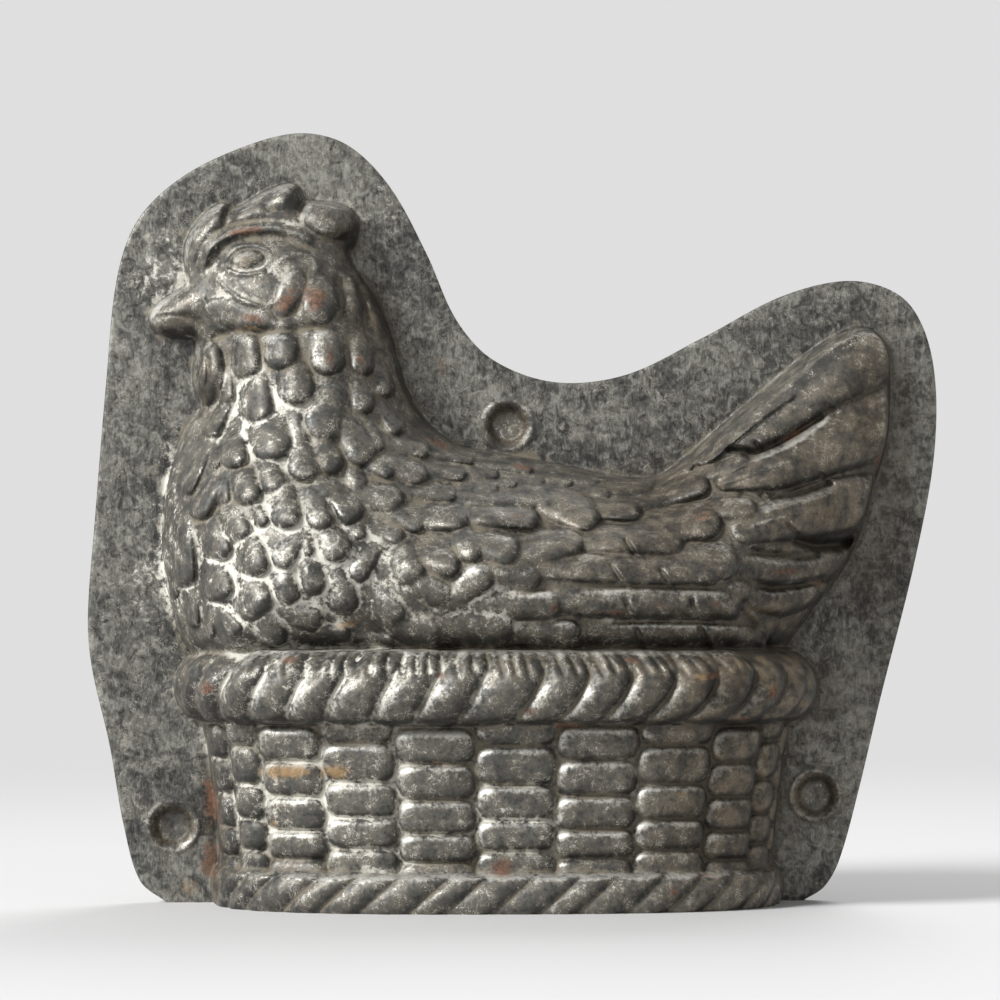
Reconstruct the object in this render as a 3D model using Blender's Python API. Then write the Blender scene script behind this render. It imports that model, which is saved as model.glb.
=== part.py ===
"""Chocolate mould: a hen sitting on a basket, in two pressed halves of tinned sheet.

Each half is one sheet, pressed outwards into half of the hen on half of the basket, with a flat
flange left round it. The halves meet flange to flange at the plane y = 0, three dimples in one
seat in the three of the other, and the pair stands on the basket's foot, which is the open mouth
that the chocolate is poured through. The halves part along Y.

+X runs to the tail, -Y is the front and +Z is up. The sizes are real ones in millimetres, and MM
turns them into Blender's metres. A height is measured from the face where the halves meet,
outwards through the sheet.
"""

import math

import bpy
import numpy as np
from mathutils import Vector
from mathutils.geometry import delaunay_2d_cdt

MM = 0.001

# Sheet and fit
SHEET = 0.9
PARTING_GAP = 0.3

# Flange: its outline from the left end of the foot over the hen to the right end, as (x, z)
FLANGE_CORNER_LEFT = (-58.5, 0.0)
FLANGE_CORNER_RIGHT = (49.0, 0.0)
FLANGE_OUTLINE = (
    (-63.0, 3.6), (-65.8, 13.0), (-68.2, 26.5), (-71.2, 39.5), (-71.9, 48.0), (-70.8, 64.0),
    (-68.9, 88.0), (-67.2, 105.0), (-63.9, 114.7), (-57.0, 121.8), (-47.0, 127.1), (-36.5, 129.9),
    (-28.4, 128.0), (-21.2, 121.0), (-14.9, 109.6), (-9.8, 98.3), (-3.5, 91.5), (7.0, 87.8),
    (19.0, 89.1), (32.0, 95.4), (46.0, 102.7), (58.0, 105.2), (66.8, 101.9), (71.2, 92.5),
    (71.7, 77.0), (68.2, 57.5), (62.2, 34.0), (58.6, 19.0), (55.2, 6.9), (52.6, 2.3),
)

# Basket: heights of its foot, wall and rim, half their lengths, and how far each stands out from
# the flange. The foot and the rim are rolls, which fall away from their fullest by a roll fall.
BASKET_MIDDLE = -3.0
FOOT_HEIGHT = 5.6
FOOT_HALF_LENGTH = 48.0
FOOT_DEPTH = 33.0
FOOT_ROLL_FALL = 0.7
WALL_TOP = 30.0
WALL_HALF_LENGTH = 46.6
WALL_DEPTH = 29.2
WALL_FLARE = 2.8
WALL_LEAN = 0.9
RIM_TOP = 42.4
RIM_HALF_LENGTH = 54.2
RIM_DEPTH = 35.6
RIM_ROLL_RADIUS = 3.5
RIM_ROLL_FALL = 1.1
RIM_LIP = 4.1
RIM_SHELF = 1.5
CORNER_POWER = 2.7

# Basket weave: columns of short rolled strands between a twisted rope at the foot and another at the
# rim. The joints between the columns are given by their x, and past both ends they go on by a pitch
# along the basket's plan. The gaps are the heights between the strands, in every other column.
WEAVE_JOINTS = (-48.4, -42.9, -32.6, -20.6, -7.7, 5.3, 18.6, 30.9, 39.4, 43.4)
WEAVE_PITCH = 10.5
WEAVE_GAPS = ((4.6, 10.1, 15.1, 20.8, 27.2, 33.0), (3.0, 8.4, 13.1, 18.6, 24.4, 30.1))
STRAND_RISE = 1.8
# Rim's rope: the x of the creases between its turns at its middle height, how far a crease leans
# along the plan for each millimetre up, how much less it leans further up, and the turns' rise
RIM_CREASES = (-44.2, -37.4, -30.8, -22.7, -15.4, -7.8, 1.9, 9.4, 16.7, 24.2, 31.4)
RIM_PITCH = 6.6
RIM_SLANT = 0.5
RIM_BOW = 0.02
RIM_RISE = 2.0
# Foot's rope: its first crease, and the same sizes
FOOT_CREASE = 0.9
FOOT_PITCH = 7.0
FOOT_SLANT = 1.15
FOOT_RISE = 1.05

# Hen: the line where it rises from the flange, as (x, z), from the rim up the breast and round
HEN_OUTLINE = (
    (-48.0, 36.0), (-54.6, 42.2), (-57.4, 48.4), (-59.3, 58.5), (-58.9, 68.0), (-55.2, 79.6),
    (-52.9, 83.2), (-54.2, 87.0), (-54.0, 93.6), (-54.4, 94.9), (-57.6, 95.1), (-60.7, 96.2),
    (-61.7, 98.4), (-60.6, 100.6), (-58.0, 102.5), (-55.6, 104.4), (-55.9, 108.4), (-55.4, 111.8),
    (-53.6, 114.8), (-50.9, 117.3), (-49.1, 117.9), (-47.8, 116.9), (-43.7, 119.1), (-41.0, 120.5),
    (-38.2, 121.3), (-36.5, 120.7), (-35.3, 118.7), (-30.6, 118.1), (-28.4, 117.3), (-26.8, 115.9),
    (-26.3, 114.0), (-26.9, 111.6), (-28.0, 109.2), (-26.1, 105.5), (-23.9, 102.3), (-20.7, 94.6),
    (-18.5, 87.0), (-15.0, 81.1), (-9.6, 77.0), (-2.4, 75.6), (4.4, 74.4), (11.2, 73.0),
    (18.0, 71.7), (24.0, 71.6), (28.0, 74.2), (35.6, 80.7), (45.9, 89.4), (50.7, 93.3),
    (55.0, 96.0), (58.2, 97.3), (60.6, 96.9), (62.5, 95.2), (63.8, 89.3), (63.7, 83.3),
    (62.2, 74.0), (59.4, 64.7), (56.1, 56.9), (50.7, 49.7), (47.2, 44.8), (44.0, 41.0), (38.0, 36.0),
)
# How far the hen stands out at named places: (x, z, depth)
HEN_DEPTHS = {
    "beak tip": (-61.0, 98.7, 3.2),
    "beak root": (-55.0, 100.0, 7.8),
    "comb front": (-52.0, 114.0, 4.6),
    "comb middle": (-43.0, 119.0, 4.5),
    "comb back": (-28.5, 114.0, 5.5),
    "crown": (-42.0, 109.0, 12.0),
    "cheek": (-41.0, 102.0, 15.0),
    "wattle": (-52.0, 88.0, 6.5),
    "throat": (-36.0, 94.0, 16.5),
    "nape": (-24.0, 95.0, 14.5),
    "neck": (-37.0, 84.0, 19.0),
    "hackle": (-24.0, 83.0, 18.0),
    "crop": (-42.0, 72.0, 24.0),
    "breast front": (-53.0, 62.0, 25.0),
    "breast": (-38.0, 58.0, 30.5),
    "saddle": (-16.0, 70.0, 25.0),
    "wing shoulder": (-8.0, 55.0, 33.0),
    "back": (10.0, 70.0, 22.5),
    "wing": (14.0, 56.0, 33.6),
    "wing tip": (32.0, 54.0, 30.6),
    "rump": (32.0, 68.0, 22.5),
    "tail root": (44.0, 64.0, 18.0),
    "tail middle": (48.0, 80.0, 11.5),
    "tail tip": (60.0, 90.0, 8.5),
    "tail lower edge": (56.0, 66.0, 11.5),
    "fluff": (46.0, 48.0, 22.0),
    "belly front": (-42.0, 44.0, 31.4),
    "belly": (0.0, 42.0, 33.8),
}
MASS_SPREAD = 7.0
# The hen's edge is rounded over this share of its depth, within the two widths below it
EDGE_ROUND = 0.9
EDGE_ROUND_MIN = 3.0
EDGE_ROUND_MAX = 24.0
# Carving on the basket starts at the first share of its depth and is full from the second on. On the
# hen it is full this far inside her outline.
CARVING_FROM = 0.1
CARVING_FULL = 0.4
CARVING_EDGE = 1.6

# Raised forms on the hen's head: (x, z, half length, half height, tilt in degrees, rise)
BUMPS = {
    "eye": (-44.9, 107.6, 2.3, 1.5, 8.0, 1.1),
    "brow": (-44.4, 112.0, 7.5, 1.2, -2.0, 1.0),
    "cheek": (-44.2, 103.0, 4.8, 2.9, -16.0, 1.0),
    "jowl": (-45.6, 98.2, 5.8, 2.3, -7.0, 1.5),
    "ear lobe": (-38.0, 101.8, 3.8, 1.9, 66.0, 1.6),
    "rear ear lobe": (-32.9, 100.6, 3.7, 2.7, 82.0, 2.1),
    "wattle": (-51.5, 88.8, 4.6, 2.3, 86.0, 1.7),
    "comb's front lobe": (-53.0, 112.4, 3.8, 1.8, 58.0, 0.9),
    "comb's middle lobe": (-41.6, 117.7, 5.4, 2.0, 19.0, 1.3),
    "comb's rear lobe": (-31.2, 114.8, 4.3, 2.7, -14.0, 2.4),
}
# Sunk lines on the hen's head: depth, half width and the points along them
CREASES = {
    "under the comb": (0.8, 1.0, ((-53.6, 107.6), (-48.4, 113.8), (-41.0, 114.7), (-29.4, 109.8))),
    "beak": (0.9, 0.8, ((-60.5, 98.2), (-53.0, 98.4))),
    "jaw": (1.0, 1.2, ((-52.0, 96.2), (-44.0, 96.6), (-35.0, 96.0), (-24.0, 98.0))),
}

# Main short feathers, raised scales from the neck down to the wing: (x, z, half length, half width,
# where the tip points in degrees). A scale rises with its width, up to the rise below.
FEATHERS = (
    (-45.3, 91.2, 3.8, 2.3, -90.0), (-39.4, 92.0, 3.2, 2.8, -90.0), (-31.8, 91.3, 3.5, 2.8, -90.0),
    (-26.0, 91.0, 3.0, 2.0, -85.0), (-43.5, 83.4, 3.5, 2.7, -88.0), (-37.0, 86.0, 3.2, 3.0, -80.0),
    (-32.0, 81.0, 4.2, 3.2, -110.0), (-26.0, 84.0, 2.5, 2.0, -80.0), (-47.2, 74.8, 2.5, 2.3, -85.0),
    (-41.0, 76.8, 3.2, 3.5, -75.0), (-35.6, 73.0, 3.0, 2.7, -80.0), (-31.4, 74.4, 2.5, 2.0, -75.0),
    (-27.0, 76.5, 4.0, 2.8, -60.0), (-22.8, 72.8, 2.5, 1.8, -20.0), (-17.8, 71.8, 2.8, 1.9, -15.0),
    (-14.0, 68.5, 3.6, 1.4, -5.0), (-2.6, 68.0, 6.0, 1.7, -3.0), (-2.8, 64.4, 5.8, 1.9, -3.0),
    (8.3, 65.9, 5.2, 3.2, -22.0), (-13.2, 64.4, 4.5, 2.4, 0.0), (-9.0, 59.4, 2.7, 2.1, -70.0),
    (-4.0, 59.0, 3.5, 2.5, -15.0), (5.0, 59.2, 5.4, 2.2, 22.0), (-52.0, 66.8, 3.0, 1.8, -125.0),
    (-45.0, 68.7, 2.6, 2.4, -80.0), (-41.0, 70.6, 2.5, 2.0, -75.0), (-38.8, 65.5, 3.2, 2.4, -88.0),
    (-46.8, 62.8, 2.8, 2.5, -70.0), (-33.2, 65.0, 3.0, 2.4, -75.0), (-29.0, 66.2, 3.5, 2.5, -55.0),
    (-22.7, 67.5, 3.5, 2.4, -10.0), (-19.0, 64.3, 3.5, 1.9, -28.0), (-49.8, 59.8, 2.8, 2.2, -75.0),
    (-55.4, 57.5, 4.5, 1.9, -88.0), (-49.9, 53.2, 2.9, 2.7, -75.0), (-44.0, 57.3, 3.0, 2.5, -75.0),
    (-38.7, 58.0, 2.5, 1.9, -130.0), (-43.8, 50.4, 2.9, 3.2, -75.0), (-38.5, 52.0, 2.2, 2.1, -80.0),
    (-40.8, 45.4, 2.5, 2.2, -65.0), (-35.5, 48.0, 3.0, 1.9, -15.0), (-30.6, 59.3, 2.5, 2.5, -60.0),
    (-34.2, 53.9, 2.4, 2.1, -70.0), (-26.2, 56.2, 2.8, 1.7, -125.0), (-29.4, 51.1, 2.8, 2.4, -80.0),
    (-18.8, 56.0, 3.0, 2.6, -75.0), (-13.4, 56.8, 3.0, 2.3, -20.0), (-14.8, 52.4, 3.5, 2.3, -30.0),
    (-21.6, 48.6, 2.6, 2.3, -60.0), (-16.4, 45.3, 3.8, 2.7, -15.0), (-21.6, 61.2, 2.4, 1.6, -20.0),
    (-8.8, 53.0, 4.5, 2.5, 42.0), (-1.2, 54.8, 4.0, 2.2, -8.0), (-0.3, 49.8, 6.5, 2.5, 0.0),
    (-7.2, 45.6, 6.0, 3.4, -5.0), (4.5, 44.8, 5.3, 2.6, 0.0), (15.8, 65.8, 4.6, 1.9, -3.0),
    (19.2, 69.5, 4.0, 1.6, 8.0), (26.0, 69.0, 5.9, 2.2, 18.0), (27.4, 63.6, 5.8, 3.1, 6.0),
    (31.0, 57.3, 4.8, 3.0, -6.0), (35.8, 65.8, 3.6, 1.9, 0.0),
)
FEATHER_STEEPNESS = 0.76
FEATHER_RISE = 2.1
# The hollows between the feathers lie under the plain masses by the bed, where those are deep
# enough for it
FEATHER_BED = 0.9
FEATHER_BED_DEPTH = 14.0
# Long feathers of the wing and the tail: rise, and the points along them as (x, z, half width)
PLUMES = {
    "first flight feather": (2.1, ((10.0, 60.8, 2.2), (17.0, 60.6, 2.6), (24.6, 60.4, 2.5))),
    "second flight feather": (2.1, ((3.0, 56.3, 2.1), (15.0, 55.9, 2.6), (30.2, 55.6, 2.5))),
    "third flight feather": (2.1, ((5.6, 50.4, 2.1), (20.0, 50.2, 2.6), (34.2, 50.0, 2.4))),
    "fourth flight feather": (2.0, ((10.0, 44.7, 2.3), (25.0, 44.5, 2.7), (39.6, 44.2, 2.3))),
    "first tail feather": (
        3.0, ((30.5, 74.6, 1.5), (39.0, 79.8, 4.7), (48.0, 86.0, 5.5), (60.0, 92.3, 5.6)),
    ),
    "second tail feather": (
        2.8, ((34.0, 70.8, 2.0), (42.0, 72.8, 3.8), (50.0, 76.2, 5.1), (61.4, 81.0, 6.1)),
    ),
    "third tail feather": (
        2.6, ((36.6, 62.4, 2.4), (44.0, 64.4, 3.9), (52.0, 66.4, 4.7), (58.6, 67.5, 4.7)),
    ),
    "fourth tail feather": (1.9, ((37.0, 56.2, 1.9), (45.0, 55.8, 2.6), (54.0, 57.1, 2.6))),
    "last tail feather": (1.4, ((39.0, 50.8, 1.8), (44.0, 50.6, 2.4), (48.6, 51.7, 2.1))),
}

# Dimples that line the halves up: where they are, and the profile of the front half's
DIMPLE_PLACES = ((-57.5, 12.8), (51.2, 17.7), (-1.1, 80.4))
DIMPLE_RADIUS = 3.6
DIMPLE_FLOOR_RADIUS = 2.3
DIMPLE_CONE_RADIUS = 0.8
DIMPLE_DEPTH = 1.5
DIMPLE_CONE_RISE = 0.5
DIMPLE_CLEARANCE = 0.3
DIMPLE_SIDES = 16

# Fineness of the mesh
GRID_STEP = 0.5
GRID_MARGIN = 3.0
FLANGE_STEPS = 3
MOUTH_SPACING = 2.0
START_SPACING = 9.0
LEAST_SPACING = 1.0
MERGE_DISTANCE = 0.05
OUTLINE_INSETS = (0.0, 1.2)
PLAN_STEPS = 401
PLAN_REACH = 0.97
PLACES_PAST_END = 12
GAP_SHARES = (0.0, 0.5, 1.0)
CREST_SHARES = (0.16, 0.5, 0.84)
CREASE_SHOULDERS = (-1.7, 0.0, 1.7)
PLUME_SHARES = (-1.0, 0.0, 1.0)
BUMP_RINGS = ((0.75, 5), (1.5, 6))
NEIGHBOUR_REACH = 10.0
HOLLOW_SHARES = (0.3, 0.38, 0.46, 0.5, 0.54, 0.62, 0.7)
HOLLOW_SPACING = 1.8
BALL_REACHES = (0.5, 0.8, 1.0)
BALL_SIDES = 8
SLOPE_LIMIT = 6.0
EDGE_SHARE = 0.08
REFINE_ROUNDS = 5
POINTS_PER_ROUND = 50


def smooth_line(points, closed, steps=2):
    """Return a Catmull-Rom curve through the points, as an array of (x, z)."""
    knots = np.array(points, dtype=float)
    count = len(knots)
    spans = count if closed else count - 1
    curve = []
    for i in range(spans):
        if closed:
            before, start, end, after = (knots[(i + k) % count] for k in (-1, 0, 1, 2))
        else:
            before, start, end, after = (knots[min(max(i + k, 0), count - 1)] for k in (-1, 0, 1, 2))
        reach = np.linalg.norm(end - start)
        leave = (end - before) * reach / (reach + np.linalg.norm(start - before))
        arrive = (after - start) * reach / (reach + np.linalg.norm(after - end))
        for t in np.arange(steps) / steps:
            curve.append(
                start * (2 * t**3 - 3 * t**2 + 1)
                + leave * (t**3 - 2 * t**2 + t)
                + end * (3 * t**2 - 2 * t**3)
                + arrive * (t**3 - t**2)
            )
    if not closed:
        curve.append(knots[-1])
    return np.array(curve)


def distance_to_line(x, z, line, closed):
    """Return the distance from each point to a line of straight pieces."""
    nearest = np.full(x.shape, np.inf)
    ends = np.roll(line, -1, axis=0) if closed else line[1:]
    for (ax, az), (bx, bz) in zip(line, ends):
        run, climb = bx - ax, bz - az
        along = ((x - ax) * run + (z - az) * climb) / (run * run + climb * climb)
        along = np.clip(along, 0.0, 1.0)
        gap = np.hypot(x - ax - along * run, z - az - along * climb)
        nearest = np.minimum(nearest, gap)
    return nearest


def is_inside(x, z, line):
    """Return, for each point, whether it lies inside a closed line."""
    inside = np.zeros(x.shape, dtype=bool)
    for (ax, az), (bx, bz) in zip(line, np.roll(line, -1, axis=0)):
        if az != bz:
            crosses = (az <= z) != (bz <= z)
            inside ^= crosses & (x < ax + (z - az) * (bx - ax) / (bz - az))
    return inside


def rim_middle():
    """Return the height of the middle of the rim's rope."""
    return (WALL_TOP + RIM_TOP) / 2


def basket_sections():
    """Return the basket's plan at each height: (z, half length, depth)."""
    wall_foot = FOOT_HEIGHT + FOOT_ROLL_FALL
    wall_middle = (wall_foot + WALL_TOP) / 2
    return np.array([
        (-GRID_MARGIN, FOOT_HALF_LENGTH, FOOT_DEPTH - FOOT_ROLL_FALL),
        (0.0, FOOT_HALF_LENGTH, FOOT_DEPTH - FOOT_ROLL_FALL),
        (FOOT_HEIGHT / 2, FOOT_HALF_LENGTH, FOOT_DEPTH),
        (FOOT_HEIGHT, FOOT_HALF_LENGTH - FOOT_ROLL_FALL, FOOT_DEPTH - FOOT_ROLL_FALL),
        (wall_foot, WALL_HALF_LENGTH, WALL_DEPTH),
        (wall_middle, WALL_HALF_LENGTH + WALL_FLARE * 0.2, WALL_DEPTH + WALL_LEAN * 0.2),
        (WALL_TOP, WALL_HALF_LENGTH + WALL_FLARE, WALL_DEPTH + WALL_LEAN),
        (rim_middle() - RIM_ROLL_RADIUS, RIM_HALF_LENGTH - RIM_ROLL_FALL, RIM_DEPTH - RIM_ROLL_FALL),
        (rim_middle(), RIM_HALF_LENGTH, RIM_DEPTH),
        (rim_middle() + RIM_ROLL_RADIUS, RIM_HALF_LENGTH - RIM_ROLL_FALL, RIM_DEPTH - RIM_ROLL_FALL),
        (RIM_TOP, RIM_HALF_LENGTH - RIM_LIP, RIM_DEPTH - RIM_LIP),
        (RIM_TOP + RIM_SHELF, RIM_HALF_LENGTH - 2 * RIM_LIP, 0.0),
    ])


def basket_plan(reach):
    """Return the share of the basket's depth at a share of its half length."""
    return (1 - np.abs(reach) ** CORNER_POWER) ** (1 / CORNER_POWER)


def plan_walk():
    """Return places across the wall's plan, and how far along the plan each lies from its middle."""
    reach = np.linspace(-1.0, 1.0, PLAN_STEPS)
    across = reach * WALL_HALF_LENGTH
    steps = np.hypot(np.diff(across), np.diff(basket_plan(reach) * WALL_DEPTH))
    walked = np.concatenate([[0.0], np.cumsum(steps)])
    return reach, walked - walked[-1] / 2


def strand(share):
    """Return the round section of a strand, 0 at its edges and 1 in its middle."""
    return np.sin(math.pi * share) ** 0.8


def along_plan(marks, pitch, half_length):
    """Return places given by their x as places along the plan, carried on past both ends by a pitch."""
    reach, walked = plan_walk()
    known = np.interp((np.array(marks) - BASKET_MIDDLE) / half_length, reach, walked)
    past = pitch * np.arange(1, PLACES_PAST_END + 1)
    return np.concatenate([known[0] - past[::-1], known, known[-1] + past])


def weave_joints():
    """Return where the columns of strands meet, along the plan."""
    return along_plan(WEAVE_JOINTS, WEAVE_PITCH, WALL_HALF_LENGTH + WALL_FLARE * 0.3)


def weave(walked, z):
    """Return how far the wall's rolled strands stand out of it."""
    joints = weave_joints()
    number = np.clip(np.searchsorted(joints, walked) - 1, 0, len(joints) - 2)
    share = (walked - joints[number]) / (joints[number + 1] - joints[number])
    across = np.clip(strand(np.clip(share, 0.0, 1.0)) * 1.8, 0.0, 1.0)
    rise = np.zeros(walked.shape)
    for parity, gaps in enumerate(WEAVE_GAPS):
        row = np.interp(z, gaps, np.arange(len(gaps)))
        rise = np.where(number % 2 == parity, across * strand(row - np.floor(row)), rise)
    return STRAND_RISE * (rise - 1.0)


def rim_creases():
    """Return where the creases of the rim's rope are at its middle height, along the plan."""
    return along_plan(RIM_CREASES, RIM_PITCH, RIM_HALF_LENGTH)


def foot_creases():
    """Return where the creases of the foot's rope are at its middle height, along the plan."""
    return FOOT_CREASE + FOOT_PITCH * np.arange(-PLACES_PAST_END, PLACES_PAST_END + 1)


def rope(walked, away, creases, slant, bow, rise):
    """Return how far the turns of a rope stand out of it, at a height away from its middle."""
    turn = np.interp(walked - slant * away + bow * away**2, creases, np.arange(len(creases)))
    return rise * (strand(turn - np.floor(turn)) - 1.0)


def fade_in(share):
    """Return how strongly the carving shows at a share of the relief's depth."""
    return np.clip((share - CARVING_FROM) / (CARVING_FULL - CARVING_FROM), 0.0, 1.0)


def basket(x, z):
    """Return the basket's height: a loft of round-cornered plans, with its weave on it."""
    heights, half_lengths, depths = basket_sections().T
    reach = np.clip((x - BASKET_MIDDLE) / np.interp(z, heights, half_lengths), -1.0, 1.0)
    walked = np.interp(reach, *plan_walk())
    on_rim = rope(walked, z - rim_middle(), rim_creases(), RIM_SLANT, RIM_BOW, RIM_RISE)
    on_foot = rope(walked, z - FOOT_HEIGHT / 2, foot_creases(), FOOT_SLANT, 0.0, FOOT_RISE)
    carving = np.where(z < WALL_TOP, weave(walked, z), on_rim)
    carving = np.where(z < FOOT_HEIGHT, on_foot, carving)
    plan = basket_plan(reach)
    return np.interp(z, heights, depths) * plan + carving * fade_in(plan)


def hen(x, z):
    """Return the hen's height: its masses, rounded down to the line where it meets the flange."""
    weights = np.full(x.shape, 1e-9)
    total = np.zeros(x.shape)
    for mass_x, mass_z, depth in HEN_DEPTHS.values():
        weight = np.exp(-((x - mass_x) ** 2 + (z - mass_z) ** 2) / (2 * MASS_SPREAD**2))
        weights += weight
        total += weight * depth
    depth = total / weights
    outline = smooth_line(HEN_OUTLINE, closed=True)
    inward = np.where(is_inside(x, z, outline), distance_to_line(x, z, outline, True), 0.0)
    edge = np.clip(depth * EDGE_ROUND, EDGE_ROUND_MIN, EDGE_ROUND_MAX)
    rise = np.sqrt(1 - (1 - np.clip(inward / edge, 0.0, 1.0)) ** 2)
    plain = depth * rise
    bed = FEATHER_BED * np.clip(plain / FEATHER_BED_DEPTH, 0.0, 1.0)
    shown = np.clip(inward / CARVING_EDGE, 0.0, 1.0)
    return plain + (feathering(x, z) - bed + carving_on_head(x, z)) * shown


def feathering(x, z):
    """Return how far the hen's feathers stand out of the hollows between them."""
    proud = np.zeros(x.shape)
    for centre_x, centre_z, half_length, half_width, lean in FEATHERS:
        along, across = turned(x - centre_x, z - centre_z, lean)
        reach = (along / half_length) ** 2 + (across / half_width) ** 2
        rise = min(FEATHER_STEEPNESS * half_width, FEATHER_RISE)
        proud = np.maximum(proud, rise * np.sqrt(np.clip(1 - reach, 0.0, 1.0)))
    for rise, points in PLUMES.values():
        reach = reach_from_plume(x, z, smooth_line(points, closed=False))
        proud = np.maximum(proud, rise * np.sqrt(np.clip(1 - reach**2, 0.0, 1.0)))
    return proud


def reach_from_plume(x, z, line):
    """Return the distance from each point to a plume's line, as a share of its half width there."""
    nearest = np.full(x.shape, np.inf)
    for (ax, az, start), (bx, bz, end) in zip(line, line[1:]):
        run, climb = bx - ax, bz - az
        along = ((x - ax) * run + (z - az) * climb) / (run * run + climb * climb)
        along = np.clip(along, 0.0, 1.0)
        gap = np.hypot(x - ax - along * run, z - az - along * climb)
        nearest = np.minimum(nearest, gap / (start + along * (end - start)))
    return nearest


def turned(x, z, degrees):
    """Return how far places lie along and across a direction that leans up from +X."""
    turn = math.radians(degrees)
    return x * math.cos(turn) + z * math.sin(turn), z * math.cos(turn) - x * math.sin(turn)


def carving_on_head(x, z):
    """Return the rise of the head's bumps, less the depth of its creases."""
    carving = np.zeros(x.shape)
    for centre_x, centre_z, half_length, half_height, tilt, rise in BUMPS.values():
        along, across = turned(x - centre_x, z - centre_z, tilt)
        carving += rise * np.exp(-((along / half_length) ** 2 + (across / half_height) ** 2))
    for depth, half_width, points in CREASES.values():
        gap = distance_to_line(x, z, smooth_line(points, closed=False), False)
        carving -= depth * np.exp(-((gap / half_width) ** 2))
    return carving


def outer_height(x, z):
    """Return the height of the sheet's outer face."""
    return SHEET + np.maximum(np.maximum(hen(x, z), basket(x, z)), 0.0)


def inner_height(x, z):
    """Return the height of the sheet's inner face, one sheet's thickness under the outer one all over."""
    inner = outer_height(x, z) - SHEET
    for reach in BALL_REACHES:
        drop = SHEET * math.sqrt(1 - reach**2)
        for turn in np.arange(BALL_SIDES) * 2 * math.pi / BALL_SIDES:
            beside_x = x + SHEET * reach * math.cos(turn)
            beside_z = z + SHEET * reach * math.sin(turn)
            inner = np.minimum(inner, outer_height(beside_x, beside_z) - drop)
    return inner


class Samples:
    """The sheet's two heights on an even grid, which show where the mesh has to be finer."""

    def __init__(self):
        line = flange_line()
        self.low = line.min(axis=0) - GRID_MARGIN
        high = line.max(axis=0) + GRID_MARGIN
        self.xs = np.arange(self.low[0], high[0], GRID_STEP)
        self.zs = np.arange(self.low[1], high[1], GRID_STEP)
        x, z = np.meshgrid(self.xs, self.zs)
        self.skins = (outer_height(x, z), inner_height(x, z))
        steep_z, steep_x = np.gradient(self.skins[0], GRID_STEP)
        self.slope = np.clip(np.hypot(1.0, np.hypot(steep_x, steep_z)), 1.0, SLOPE_LIMIT)

    def within(self, corners):
        """Return the rows and columns of the grid that a triangle's box covers."""
        first = np.ceil((corners.min(axis=0) - self.low) / GRID_STEP).astype(int)
        last = np.floor((corners.max(axis=0) - self.low) / GRID_STEP).astype(int)
        return slice(first[1], last[1] + 1), slice(first[0], last[0] + 1)


def flange_line():
    """Return the flange's outline from its left foot corner round to its right one."""
    points = (FLANGE_CORNER_LEFT, *FLANGE_OUTLINE, FLANGE_CORNER_RIGHT)
    return smooth_line(points, closed=False, steps=FLANGE_STEPS)


def dimple_profile(extra):
    """Return a dimple's section as radii and depths, widened by extra for the half that receives it."""
    radii = np.array([0.0, DIMPLE_CONE_RADIUS, DIMPLE_FLOOR_RADIUS, DIMPLE_RADIUS])
    radii[1:] += extra
    depths = np.array([DIMPLE_DEPTH, DIMPLE_DEPTH - DIMPLE_CONE_RISE, DIMPLE_DEPTH, 0.0])
    return radii, depths


def dimple_rings(radii):
    """Return the (x, z) points of each ring of each dimple, ring by ring."""
    turns = np.arange(DIMPLE_SIDES) * 2 * math.pi / DIMPLE_SIDES
    rings = []
    turns = np.append(turns, turns[0])
    for centre in DIMPLE_PLACES:
        for radius in radii[1:]:
            rings.append(np.array(centre) + radius * np.stack([np.cos(turns), np.sin(turns)], axis=1))
    return rings


def triangulate(boundary, rings, lines, loose):
    """Return the points and triangles of a flat mesh inside the boundary, with rings and lines in it."""
    edges = []
    start = len(boundary)
    for line in (*rings, *lines):
        edges += [(start + i, start + i + 1) for i in range(len(line) - 1)]
        start += len(line)
    points = np.concatenate([boundary, *rings, *lines, loose])
    outline = [list(range(len(boundary)))]
    result = delaunay_2d_cdt([Vector(p) for p in points], edges, outline, 1, MERGE_DISTANCE)
    flat = np.array([tuple(v) for v in result[0]])
    return flat, np.array([tuple(face) for face in result[2]])


def worst_points(flat, triangles, samples):
    """Return the sample points where the flat triangles stray most from the sheet, one a triangle."""
    found = []
    heights = [skin_height(flat[:, 0], flat[:, 1]) for skin_height in (outer_height, inner_height)]
    for triangle in triangles:
        (ax, az), (bx, bz), (cx, cz) = corners = flat[triangle]
        box = samples.within(corners)
        x, z = np.meshgrid(samples.xs[box[1]], samples.zs[box[0]])
        size = (bx - ax) * (cz - az) - (cx - ax) * (bz - az)
        to_b = ((x - ax) * (cz - az) - (cx - ax) * (z - az)) / size
        to_c = ((bx - ax) * (z - az) - (x - ax) * (bz - az)) / size
        inside = (to_b > EDGE_SHARE) & (to_c > EDGE_SHARE) & (to_b + to_c < 1 - EDGE_SHARE)
        if not inside.any():
            continue
        stray = np.zeros(x.shape)
        for skin, height in zip(samples.skins, heights):
            a, b, c = height[triangle]
            plane = a + (b - a) * to_b + (c - a) * to_c
            stray = np.maximum(stray, np.abs(skin[box] - plane) / samples.slope[box])
        stray = np.where(inside, stray, 0.0)
        row, column = np.unravel_index(stray.argmax(), stray.shape)
        found.append((stray[row, column], x[row, column], z[row, column]))
    found.sort(reverse=True)
    return [(x, z) for stray, x, z in found[:POINTS_PER_ROUND]]


def rope_lines(heights, middle, creases, slant, bow):
    """Return lines of (walked, z) along the creases and the backs of a rope's turns."""
    heights = np.array(heights)
    lean = slant * (heights - middle) - bow * (heights - middle) ** 2
    backs = (creases[1:] + creases[:-1]) / 2
    return [np.stack([start + lean, heights], axis=1) for start in (*creases, *backs)]


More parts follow.
